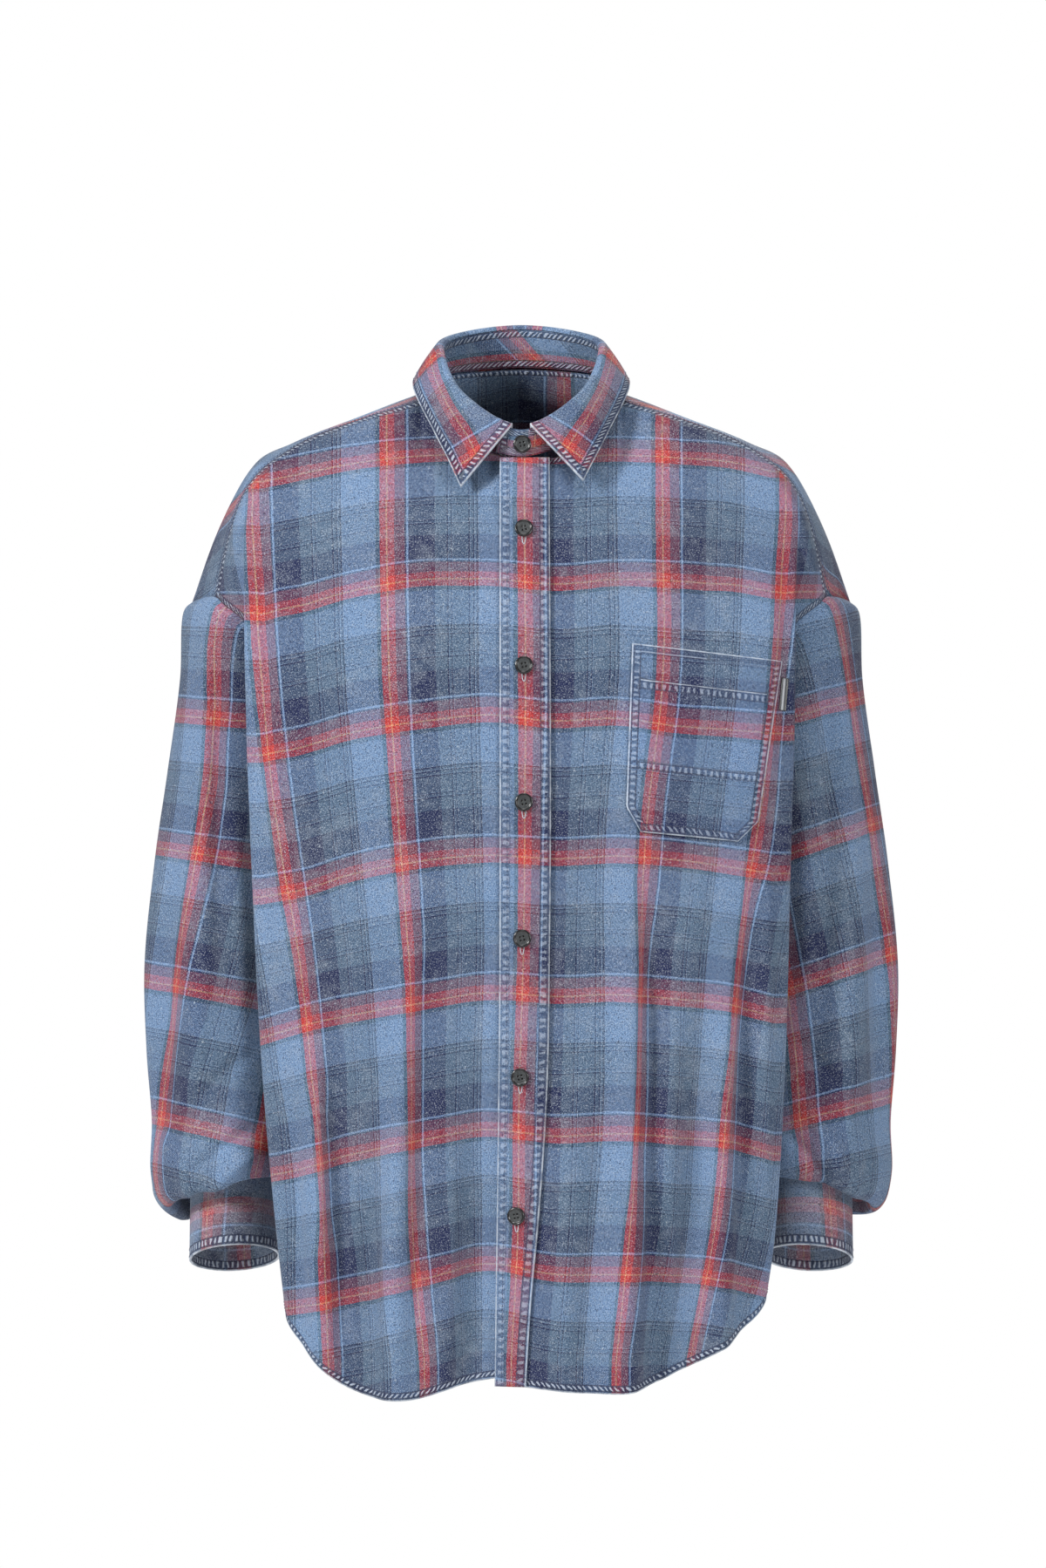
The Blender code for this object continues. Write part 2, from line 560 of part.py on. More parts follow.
def yoke_half():
    """Half of the yoke: rows from the neckline and front seam back to the back yoke seam."""
    reach = yoke_reaches()
    neck_turns = np.linspace(1.0, SIDE_NECK_TURN, BACK_NECK_STEPS + 1)
    top = np.concatenate([neck_curve(neck_turns, BASE_COLUMN), shoulder_curve(REACH_STOPS[1:], 1)])
    crest = shoulder_curve(reach, 4)
    back = back_yoke_seam()
    blade = crest + (back - crest) * 0.55
    blade += smooth(columns(YOKE_FULLNESS, 0, 0)[:, 0], columns(YOKE_FULLNESS, 1, 3), reach)
    rows = smooth((0.0, 0.30, 0.68, 1.0), np.array([top, crest, blade, back]),
                  np.linspace(0.0, 1.0, YOKE_ROWS))
    hole = armhole(YOKE_HOLE_STOPS)
    fade = ramp(reach, 0.55, 1.0)[None, :, None]
    return rows + (hole - rows[:, -1])[:, None, :] * fade


def whole(half):
    """A panel that crosses the middle, from its +X half."""
    return np.concatenate([mirrored(half)[:, :-1], half], axis=1)


# ---------------------------------------------------------------- sleeves and cuffs
def hole_ring():
    """Places round the armhole that all its neighbours share, from the front yoke seam."""
    yoke = np.linspace(BACK_YOKE_END, 1.0, YOKE_ROWS)[:-1]
    return np.concatenate([FRONT_HOLE_STOPS[:-1], BACK_HOLE_STOPS[::-1][:-1], yoke])


def ring_angles(ring):
    """Angles round a sleeve for the armhole's points: 0 outside, the front minus."""
    closed = np.concatenate([ring, ring[:1]])
    walk = np.concatenate([[0.0], np.cumsum(np.linalg.norm(np.diff(closed, axis=0), axis=1))])
    total = walk[-1]
    places = np.concatenate([hole_ring(), [1.0]])
    under = np.interp(UNDERARM, places, walk)
    crest = np.interp(CREST_PLACE, places, walk)
    angle = np.interp(walk[:-1], [crest - total, under, crest, under + total],
                      [0.0, -np.pi, -2.0 * np.pi, -3.0 * np.pi])
    return angle


def sleeve_ring(row, angle):
    """One oval ring of the sleeve table."""
    x, y, z, wide, deep, lean, pitch = row
    across = wide * np.cos(angle)
    back = deep * np.sin(angle)
    return np.stack([x + across, y + back, z + lean * across + pitch * back], axis=1)


def sleeve_net():
    """A sleeve for the wearer's left: rows along it, columns round it."""
    ring = armhole(hole_ring())
    angle = ring_angles(ring)
    low = ramp(-np.cos(angle), -0.2, 0.9)[:, None]
    facing = np.array(CREST_FACING) * (1.0 - low) + np.array(UNDERARM_FACING) * low
    curves = [ring, ring + facing * SLEEVE_START]
    knots = [0.0, SLEEVE_START_ALONG]
    for row in SLEEVE:
        knots.append(row[0])
        curves.append(sleeve_ring(row[1:], angle))
    stops = np.array(SLEEVE_STOPS)
    net = smooth(knots, np.array(curves), stops)
    centre = net.mean(axis=1, keepdims=True)
    out = net - centre
    out /= np.linalg.norm(out, axis=2, keepdims=True)
    push = np.zeros(net.shape[:2])
    turn = np.angle(np.exp(1j * angle))[None, :]
    for at, rise, width, start, end, slant in SLEEVE_FOLDS:
        line = at + slant * (stops[:, None] - 0.5)
        off = np.angle(np.exp(1j * (turn - line)))
        window = ramp(stops, start, 0.5 * (start + end)) * ramp(-stops, -end, -0.5 * (start + end))
        push += rise * np.exp(-(off / width) ** 2) * window[:, None]
    return net + push[..., None] * out, angle


def cuff_net(angle):
    """A cuff for the wearer's left, hanging from the sleeve's last ring."""
    top = np.array(SLEEVE[-1][1:])
    rows = []
    for share in np.linspace(0.0, 1.0, CUFF_ROWS + 1):
        row = top.copy()
        row[2] -= CUFF_HEIGHT * share
        row[3] += CUFF_FLARE * share
        row[4] += CUFF_FLARE * share
        rows.append(sleeve_ring(row, angle))
    return np.array(rows)


# ---------------------------------------------------------------- collar
def stand_net():
    """The stand: a strip round the neck whose left end laps over its right end."""
    turns = np.linspace(0.0, 1.0, 2 * BACK_NECK_STEPS + 1)
    lap = np.array(STAND_LAP)
    rows = []
    for share in np.linspace(0.0, 1.0, STAND_ROWS + 1):
        def ring(turn):
            base, top = neck_curve(turn, BASE_COLUMN), neck_curve(turn, TOP_COLUMN)
            return base + (top - base) * share
        under = ring(lap * STAND_UNDERLAP)
        right = ring(turns) * FLIP
        left = ring(turns)[:-1][::-1]
        over = ring(lap) * FLIP
        rows.append(np.concatenate([under[::-1], right, left, over]))
    net = np.array(rows)
    net[0, :, 2] += STAND_SEAM_LIFT
    over_side = np.arange(net.shape[1]) > net.shape[1] // 2
    shift = ramp(-net[..., 0], -STAND_SHIFT_FROM, -STAND_SHIFT_FULL) * over_side[None, :]
    net[..., 1] -= (BAND_WALL + 3.0 * LAY_GAP) * shift
    return net


def leaf_net():
    """The leaf: from the stand's top edge, over the roll and down to its outer edge."""
    turns = np.linspace(0.0, 1.0, 2 * BACK_NECK_STEPS + 1)
    start = neck_curve(LEAF_FIRST_TURN + (1.0 - LEAF_FIRST_TURN) * turns, TOP_COLUMN)
    start[:, 2] += LEAF_LIFT
    outer = neck_curve(turns, LEAF_COLUMN)
    ring = neck_curve(turns, TOP_COLUMN)
    away = np.cross(np.gradient(ring, axis=0), UP)
    away /= np.linalg.norm(away, axis=1, keepdims=True)
    rows = []
    for angle in np.linspace(0.0, ROLL_TURN, ROLL_ROWS + 1):
        rows.append(start + away * ROLL_RADIUS * (1.0 - np.cos(angle))
                    + UP * ROLL_RADIUS * np.sin(angle))
    roll_end = rows[-1]
    for share in np.linspace(0.0, 1.0, LEAF_ROWS + 1)[1:]:
        belly = 4.0 * share * (1.0 - share) * LEAF_BELLY
        rows.append(roll_end + (outer - roll_end) * share + away * belly)
    half = np.array(rows)
    return np.concatenate([half * FLIP, half[:, :-1][:, ::-1]], axis=1)


# ---------------------------------------------------------------- making objects
def material(name, colour, roughness, metallic=0.0):
    """A plain finish."""
    finish = bpy.data.materials.new(name)
    finish.use_nodes = True
    shader = finish.node_tree.nodes["Principled BSDF"]
    shader.inputs["Base Color"].default_value = colour
    shader.inputs["Roughness"].default_value = roughness
    shader.inputs["Metallic"].default_value = metallic
    return finish


def place_object(name, mesh, collection, finish):
    """An object of this mesh in the collection."""
    piece = bpy.data.objects.new(name, mesh)
    mesh.materials.append(finish)
    collection.objects.link(piece)
    return piece


def cloth(name, net, collection, wall=WALL, closed=False):
    """A sewn piece: the net as quads, thickened evenly to both sides."""
    mesh = bpy.data.meshes.new(name)
    mesh.from_pydata(net.reshape(-1, 3).tolist(), [], net_quads(*net.shape[:2], closed))
    mesh.shade_smooth()
    piece = place_object(name, mesh, collection, material(name, INDIGO, 0.85))
    thick = piece.modifiers.new("wall", "SOLIDIFY")
    thick.thickness = wall
    thick.offset = 0.0
    return piece


def remove_scene_objects():
    """Start from an empty scene."""
    for item in list(bpy.data.objects):
        bpy.data.objects.remove(item, do_unlink=True)


def surface_finder(net):
    """A function giving a net's point and outward normal at a place in front of it."""
    tree = BVHTree.FromPolygons([Vector(point) for point in net.reshape(-1, 3)],
                                net_quads(*net.shape[:2]))

    def find(x, z):
        point, normal, _, _ = tree.ray_cast(Vector((x, -1.0, z)), Vector((0.0, 1.0, 0.0)))
        if normal.y > 0.0:
            normal.negate()
        return point, normal

    return find


def pocket_net(find):
    """The pocket, laid on the left front between its corners."""
    heights = np.linspace(0.0, 1.0, POCKET_ROWS + 1)
    top_in, top_out = np.array(POCKET_TOP_IN), np.array(POCKET_TOP_OUT)
    low_in, low_out = np.array(POCKET_LOW_IN), np.array(POCKET_LOW_OUT)
    side_in, side_out = np.array(POCKET_SIDE_IN), np.array(POCKET_SIDE_OUT)
    rows = []
    for height in heights:
        if height < POCKET_CHAMFER:
            share = height / POCKET_CHAMFER
            inner = top_in + (side_in - top_in) * share
            outer = top_out + (side_out - top_out) * share
        else:
            share = (height - POCKET_CHAMFER) / (1.0 - POCKET_CHAMFER)
            inner = side_in + (low_in - side_in) * share
            outer = side_out + (low_out - side_out) * share
        places = np.linspace(0.0, 1.0, POCKET_COLUMNS + 1)
        rows.append([find(*(inner + (outer - inner) * place))[0] for place in places])
    return lay_on(np.array(rows), WALL, POCKET_GAP)


def button_mesh(collection):
    """A rimmed four-hole button about +Z, its back on the XY plane."""
    rim = BUTTON_RADIUS
    profile = (
        (rim * 0.80, 0.0),
        (rim * 0.96, BUTTON_HEIGHT * 0.22),
        (rim, BUTTON_HEIGHT * 0.60),
        (rim * 0.93, BUTTON_HEIGHT * 0.95),
        (rim * 0.84, BUTTON_HEIGHT),
        (rim * 0.70, BUTTON_HEIGHT * 0.62),
    )
    rings = []
    for radius, height in profile:
        angle = np.arange(BUTTON_SIDES) * 2.0 * np.pi / BUTTON_SIDES
        rings.append(np.stack([radius * np.cos(angle), radius * np.sin(angle),
                               np.full(BUTTON_SIDES, height)], axis=1))
    number = np.arange(len(rings) * BUTTON_SIDES).reshape(len(rings), BUTTON_SIDES)
    ahead = np.roll(number, -1, axis=1)
    faces = np.stack([number[:-1], ahead[:-1], ahead[1:], number[1:]], axis=2)
    faces = faces.reshape(-1, 4).tolist()
    faces.append(number[0][::-1].tolist())
    faces.append(number[-1].tolist())
    mesh = bpy.data.meshes.new("button_blank")
    mesh.from_pydata(np.concatenate(rings).tolist(), [], faces)
    blank = bpy.data.objects.new("button_blank", mesh)
    collection.objects.link(blank)
    drills = []
    for across in (-1.0, 1.0):
        for up in (-1.0, 1.0):
            bpy.ops.mesh.primitive_cylinder_add(vertices=6, radius=HOLE_RADIUS,
                                                depth=4.0 * BUTTON_HEIGHT)
            drill = bpy.context.object
            drill.location = (across * HOLE_SPREAD, up * HOLE_SPREAD, 0.0)
            cut = blank.modifiers.new("hole", "BOOLEAN")
            cut.operation = "DIFFERENCE"
            cut.object = drill
            drills.append(drill)
    bpy.context.view_layer.update()
    drilled = bpy.data.meshes.new_from_object(
        blank.evaluated_get(bpy.context.evaluated_depsgraph_get()))
    for item in drills + [blank]:
        bpy.data.objects.remove(item, do_unlink=True)
    return drilled


def add_button(name, mesh, collection, point, normal, lift):
    """A button whose back faces the cloth at this point."""
    piece = bpy.data.objects.new(name, mesh)
    collection.objects.link(piece)
    turn = Vector(normal).to_track_quat("Z", "Y")
    piece.matrix_world = Matrix.Translation(Vector(point) + Vector(normal) * lift) @ \
        turn.to_matrix().to_4x4()
    return piece


def add_tab(find, collection):
    """The plain metal bar at the pocket's outer edge."""
    point, normal = find(*TAB_CENTRE)
    bpy.ops.mesh.primitive_cube_add(size=1.0)
    bar = bpy.context.object
    bar.name = "pocket_tab"
    bar.data.transform(Matrix.Diagonal((TAB_WIDTH, TAB_HEIGHT, TAB_THICKNESS, 1.0)))
    lift = 0.5 * WALL + LAY_GAP + 0.5 * TAB_THICKNESS + TAB_LIFT
    turn = Vector(normal).to_track_quat("Z", "Y").to_matrix().to_4x4()
    bar.matrix_world = Matrix.Translation(point + normal * lift) @ turn @ \
        Matrix.Rotation(TAB_TILT, 4, "Z")
    edge = bar.modifiers.new("edge", "BEVEL")
    edge.width = 0.0003
    edge.segments = 1
    bar.data.materials.append(material("pocket_tab", STEEL, 0.3, 1.0))
    for other in list(bar.users_collection):
        other.objects.unlink(bar)
    collection.objects.link(bar)
    return bar


def hole_flanks(front, yoke, back):
    """Round the armhole, the steps in the body's cloth square to the ring and away from it."""
    rows = FRONT_STOPS
    normals = np.concatenate([net_normals(front)[:rows, -1],
                              net_normals(back)[:rows - 1, -1][::-1],
                              net_normals(yoke)[1:-1, -1][::-1]])
    ring = armhole(hole_ring())
    away = np.cross(normals, seam_tangent(ring, closed=True))
    outside = ((ring - ring.mean(axis=0)) * away).sum(axis=1, keepdims=True)
    return away * np.sign(outside)


def joined_halves(fronts, yoke, back, sleeve, cuff):
    """The panels with every seam's gap: each edge is drawn back by its mitre."""
    corner = BACK_NECK_STEPS
    rows = FRONT_STOPS
    plain = 0.5 * SEAM_GAP
    ring = inward(sleeve, "top")
    along = seam_tangent(sleeve[0], closed=True)
    part = {
        "front": lambda values: values[:rows],
        "back": lambda values: values[rows - 1:2 * rows - 1][::-1],
        "yoke": lambda values: np.concatenate([values[:1], values[2 * rows - 2:][::-1]]),
    }
    shoulder = seam_tangent(yoke[0, corner:])
    side = seam_tangent(back[rows:, -1])
    nets = {}
    for wearer, front in fronts.items():
        seam = mitre(shoulder, inward(front, "top")[NECK_STEPS:], inward(yoke, "top")[corner:])
        top = np.concatenate([np.full(NECK_STEPS, plain), seam])
        edge = inward(front, "right")
        hole = mitre(part["front"](along), edge[:rows], part["front"](ring))
        lower = mitre(side, edge[rows:], inward(back, "right")[rows:])
        net = pull_in(front, top=top, right=np.concatenate([hole, lower]))
        net = move_start(net, 1 if wearer == "left" else -1)
        if wearer == "right":
            net = mirrored(net)
        nets["front_" + wearer] = add_folds(net, FRONT_FOLDS, -1.0)
    front = fronts["left"]
    seam = mitre(shoulder, inward(yoke, "top")[corner:], inward(front, "top")[NECK_STEPS:])
    top = np.concatenate([np.full(corner, plain), seam])
    blade = seam_tangent(back[0])
    bottom = mitre(blade, inward(yoke, "bottom"), inward(back, "top"))
    hole = mitre(part["yoke"](along), inward(yoke, "right"), part["yoke"](ring))
    nets["yoke"] = whole(pull_in(yoke, top=top, bottom=bottom, right=hole))
    edge = inward(back, "right")
    top = mitre(blade, inward(back, "top"), inward(yoke, "bottom"))
    hole = mitre(part["back"](along), edge[:rows], part["back"](ring))
    lower = mitre(side, edge[rows:], inward(front, "right")[rows:])
    net = whole(pull_in(back, top=top, right=np.concatenate([hole, lower])))
    nets["back"] = add_folds(net, BACK_FOLDS, 1.0)
    body = hole_flanks(front, yoke, back)
    round_wrist = seam_tangent(cuff[0], closed=True)
    wrist = mitre(round_wrist, inward(sleeve, "bottom"), inward(cuff, "top"), BAND_WALL)
    start = mitre(along, ring, body, gap=SEAM_GAP)
    nets["sleeve"] = pull_in(sleeve, top=start, bottom=wrist)
    nets["cuff"] = pull_in(cuff, top=wrist)
    return nets


def build():
    """Make every piece of the shirt."""
    remove_scene_objects()
    shirt = bpy.data.collections.new("checked_shirt")
    bpy.context.scene.collection.children.link(shirt)
    yoke, back = yoke_half(), back_half()
    fronts = {"right": front_half(-1), "left": front_half(1)}
    sleeve, angle = sleeve_net()
    cuff = cuff_net(angle)
    nets = joined_halves(fronts, yoke, back, sleeve, cuff)
    left_front = nets["front_left"]
    placket = placket_net(fronts["left"])
    for name in ("front_right", "front_left", "yoke", "back"):
        cloth(name, nets[name], shirt)
    cloth("placket", pull_in(placket, top=SEAM_GAP), shirt, BAND_WALL)
    for side, scale in (("left", 1.0), ("right", FLIP)):
        cloth("sleeve_" + side, nets["sleeve"] * scale, shirt, closed=True)
        cloth("cuff_" + side, nets["cuff"] * scale, shirt, BAND_WALL, closed=True)
    stand = stand_net()
    cloth("collar_stand", stand, shirt, BAND_WALL)
    cloth("collar", leaf_net(), shirt, LEAF_WALL)

    find = surface_finder(left_front)
    cloth("pocket", pocket_net(find), shirt)
    add_tab(find, shirt)

    button = button_mesh(shirt)
    button.materials.append(material("button", BLACK, 0.15))
    find = surface_finder(placket)
    lift = 0.5 * BAND_WALL + BUTTON_LIFT
    find_stand = surface_finder(stand)
    point, normal = find_stand(STAND_BUTTON_X, STAND_BUTTON_Z)
    add_button("button_1", button, shirt, point, normal, lift)
    for number, (across, height) in enumerate(FRONT_BUTTONS, start=2):
        point, normal = find(across, height)
        add_button("button_%d" % number, button, shirt, point, normal, lift)
    middle = cuff[1:3].mean(axis=0)
    column = int(np.argmin(np.abs(np.angle(np.exp(1j * (angle - CUFF_BUTTON_ANGLE))))))
    outward = np.array([np.cos(angle[column]) / SLEEVE[-1][4],
                        np.sin(angle[column]) / SLEEVE[-1][5], 0.0])
    outward /= np.linalg.norm(outward)
    for side, scale in (("left", 1.0), ("right", FLIP)):
        add_button("cuff_button_" + side, button, shirt, middle[column] * scale,
                   outward * scale, lift + CUFF_BUTTON_CLEAR)


build()
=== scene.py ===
"""The looks of an oversized checked twill shirt, worn hollow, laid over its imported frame.

Metres, +Z up. The front faces -Y and the wearer's left is +X. Each sewn piece is a surface worked
out from the shirt's own sections, far finer than the solid that it stands for, with its creases,
its check laid out in metres of flat cloth, its rows of stitches and its worn edges.
"""
import logging
from dataclasses import dataclass, field
from enum import Enum
from typing import Dict, List, Optional, Sequence, Tuple

import bpy
import numpy as np
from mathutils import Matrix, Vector


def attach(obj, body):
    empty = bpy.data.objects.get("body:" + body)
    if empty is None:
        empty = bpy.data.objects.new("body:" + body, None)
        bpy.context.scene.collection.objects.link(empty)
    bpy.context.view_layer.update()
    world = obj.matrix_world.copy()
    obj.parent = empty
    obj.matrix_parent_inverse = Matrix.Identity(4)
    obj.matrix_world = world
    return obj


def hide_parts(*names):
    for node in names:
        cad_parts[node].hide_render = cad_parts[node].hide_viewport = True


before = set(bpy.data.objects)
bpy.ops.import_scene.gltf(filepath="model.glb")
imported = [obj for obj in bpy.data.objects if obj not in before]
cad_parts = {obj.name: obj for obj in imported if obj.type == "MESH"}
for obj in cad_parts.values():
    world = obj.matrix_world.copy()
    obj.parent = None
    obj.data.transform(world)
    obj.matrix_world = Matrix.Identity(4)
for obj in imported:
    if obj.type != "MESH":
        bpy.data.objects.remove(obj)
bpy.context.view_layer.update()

BODY = "root"
UV_NAME = "cut"
TRIM_NAME = "trim"
MM = 0.001
REPEAT = 0.1106  # the check's repeat
SEAM_OFFSET = 0.0016  # how much further away than a finished edge a seam counts
RUN_SHIFT = 0.37  # what keeps the bars along one edge unlike the next edge's
FULL_TURN = 2.0 * np.pi
FLIP = np.array([-1.0, 1.0, 1.0])
UP = np.array([0.0, 0.0, 1.0])

Array = np.ndarray
Pair = Tuple[float, float]
Point = Tuple[float, float, float]
Colour = Tuple[float, float, float]
Table = Tuple[Tuple[float, ...], ...]
Value = object  # what a shader node's input takes: a wire, a number or a colour
log = logging.getLogger("shirt")


# ================================================================ curves and nets
def cubic(u: Array, span: Array, start: Array, end: Array, first: Array, second: Array) -> Array:
    """A cubic between two values with a slope at each.

    It is start (2u^3 - 3u^2 + 1) + end (3u^2 - 2u^3)
    + span (first (u^3 - 2u^2 + u) + second (u^3 - u^2)).

    Args:
        u: shares of the way, 0 to 1.
        span: the length of the way.
        start: the value at 0.
        end: the value at 1.
        first: the slope at 0.
        second: the slope at 1.
    Returns:
        The values.
    """
    rise = start * (2 * u**3 - 3 * u**2 + 1) + end * (3 * u**2 - 2 * u**3)
    return rise + span * (first * (u**3 - 2 * u**2 + u) + second * (u**3 - u**2))


def smooth(knots: Sequence[float], values: Sequence, at: Sequence[float]) -> Array:
    """Reads a curve through values at knots: on each span the cubic with both ends' slopes.

    Args:
        knots: places of the values, rising.
        values: one value or point for each knot.
        at: places to read, held within the knots.
    Returns:
        The curve's values, one for each place.
    """
    knots = np.asarray(knots, float)
    values = np.asarray(values, float)
    slopes = np.gradient(values, knots, axis=0)
    at = np.clip(np.atleast_1d(np.asarray(at, float)), knots[0], knots[-1])
    low = np.clip(np.searchsorted(knots, at, side="right") - 1, 0, len(knots) - 2)
    span = knots[low + 1] - knots[low]
    shape = at.shape + (1,) * (values.ndim - 1)
    u = ((at - knots[low]) / span).reshape(shape)
    return cubic(u, span.reshape(shape), values[low], values[low + 1], slopes[low],
                 slopes[low + 1])


def spread(knots: Array, values: Array, at: Array) -> Array:
    """Reads at each point a curve whose knots are that point's own.

    Between two knots the value follows the cubic with averaged slopes; past the last knot on
    either side it goes on straight.

    Args:
        knots: rising knots along the last axis, one set for each point.
        values: the values at the knots, the same for all points.
        at: where each point lies among its knots.
    Returns:
        One value for each point.
    """
    steps = np.diff(values) / np.diff(knots, axis=-1)
    inner = 0.5 * (steps[..., 1:] + steps[..., :-1])
    slopes = np.concatenate([steps[..., :1], inner, steps[..., -1:]], axis=-1)
    low = (at[..., None] > knots[..., 1:-1]).sum(axis=-1)[..., None]
    start = np.take_along_axis(knots, low, -1)[..., 0]
    span = np.take_along_axis(knots, low + 1, -1)[..., 0] - start
    first = np.take_along_axis(slopes, low, -1)[..., 0]
    second = np.take_along_axis(slopes, low + 1, -1)[..., 0]
    share = (at - start) / span
    low = low[..., 0]
    value = cubic(np.clip(share, 0.0, 1.0), span, values[low], values[low + 1], first, second)
    return value + span * (np.minimum(share, 0.0) * first + np.maximum(share - 1.0, 0.0) * second)


def ramp(value: Array, start: float, full: float) -> Array:
    """0 before start, 1 past full, eased between by 3s^2 - 2s^3."""
    share = np.clip((np.asarray(value, float) - start) / (full - start), 0.0, 1.0)
    return share * share * (3.0 - 2.0 * share)


def hill(value: Array, centre: float, width: float) -> Array:
    """A soft hill, exp(-((value - centre) / width)^2)."""
    return np.exp(-((np.asarray(value, float) - centre) / width) ** 2)


def even(count: int) -> Array:
    """So many even shares from 0 to 1."""
    return np.linspace(0.0, 1.0, count)


def unit(vectors: Array) -> Array:
    """The vectors at length 1."""
    return vectors / np.maximum(np.linalg.norm(vectors, axis=-1, keepdims=True), 1e-12)


def columns(table: Table, first: int, last: int) -> Array:
    """Columns first to last of a table."""
    return np.array([row[first:last + 1] for row in table], float)


def read(table: Table, first: int, last: int, at: Array) -> Array:
    """A smooth curve through columns first to last of a table, by its column 0."""
    return smooth(columns(table, 0, 0)[:, 0], columns(table, first, last), at)


def sized(*rows: Tuple[float, ...], shares: int = 1) -> Table:
    """A table of rows in millimetres, apart from their first numbers, which are shares."""
    return tuple(row[:shares] + tuple(size / 1000.0 for size in row[shares:]) for row in rows)


def net_normals(net: Array, closed: bool = False) -> Array:
    """Unit normals of a net: the step along the row crossed with the step down the column.

    Args:
        net: the positions, rows down and columns across.
        closed: whether the last column is followed by the first.
    Returns:
        A normal for each point.
    """
    across = np.gradient(net, axis=1)
    if closed:
        across = 0.5 * (np.roll(net, -1, axis=1) - np.roll(net, 1, axis=1))
    return unit(np.cross(across, np.gradient(net, axis=0)))


def arc_down(net: Array) -> Array:
    """Cloth length down each column, from the first row."""
    steps = np.linalg.norm(np.diff(net, axis=0), axis=-1)
    return np.concatenate([np.zeros((1, net.shape[1])), np.cumsum(steps, axis=0)])


def arc_across(net: Array) -> Array:
    """Cloth length along each row, from the first column."""
    return arc_down(net.swapaxes(0, 1)).swapaxes(0, 1)


def mirrored(half: Array) -> Array:
    """The whole net of a half on the +X side, whose first column is on the centre line."""
    return np.concatenate([(half * FLIP)[:, :0:-1], half], axis=1)


def upright(normal: Array) -> Array:
    """The axes of a thing that lies flat on a surface: to its side, up it and along its normal."""
    side = unit(np.cross(UP, normal))
    return np.stack([side, np.cross(normal, side), normal])


def linked(name: str, data: bpy.types.ID) -> bpy.types.Object:
    """A new object of this data, in the scene."""
    made = bpy.data.objects.new(name, data)
    bpy.context.scene.collection.objects.link(made)
    return made


# ================================================================ camera
@dataclass(frozen=True)
class PhotoCamera:
    """A level camera in front of the shirt, framed as the photograph.

    A point at depth 0 takes pixel_size metres to a photo pixel; the rest follows perspective.
    """

    distance: float = 6.0
    pixel_size: float = 0.0007
    frame_size: Tuple[int, int] = (1200, 1799)
    centre: Pair = (0.0014, -0.3136)
    sensor: float = 24.0
    reach: float = 60.0

    def to_photo(self, points: Array) -> Tuple[Array, Array]:
        """Where points show in the photograph.

        Args:
            points: positions, with x, y, z on the last axis.
        Returns:
            The photo x and photo y of each point, in pixels.
        """
        scale = self.distance / (self.distance + points[..., 1]) / self.pixel_size
        x = 0.5 * self.frame_size[0] + (points[..., 0] - self.centre[0]) * scale
        y = 0.5 * self.frame_size[1] - (points[..., 2] - self.centre[1]) * scale
        return x, y

    def place(self) -> None:
        """Adds the camera and makes it the scene's."""
        data = bpy.data.cameras.new("photo_camera")
        data.sensor_fit = "VERTICAL"
        data.sensor_height = self.sensor
        data.lens = self.sensor * self.distance / (self.frame_size[1] * self.pixel_size)
        data.clip_end = self.reach
        camera = linked("photo_camera", data)
        camera.location = (self.centre[0], -self.distance, self.centre[1])
        camera.rotation_euler = (0.5 * np.pi, 0.0, 0.0)
        bpy.context.scene.camera = camera


CAMERA = PhotoCamera()


# ================================================================ the cut
class NeckLine(Enum):
    """Rings of the neck table, by their first column."""

    BASE = 1
    TOP = 4
    LEAF = 7


class ShoulderLine(Enum):
    """Lines of the shoulder table, by their first column."""

    FRONT = 1
    CREST = 4
    BACK = 7


class Side(Enum):
    """The wearer's right or left, as the sign of X."""

    RIGHT = -1
    LEFT = 1

    @property
    def word(self) -> str:
        """The side's name in lower case."""
        return self.name.lower()


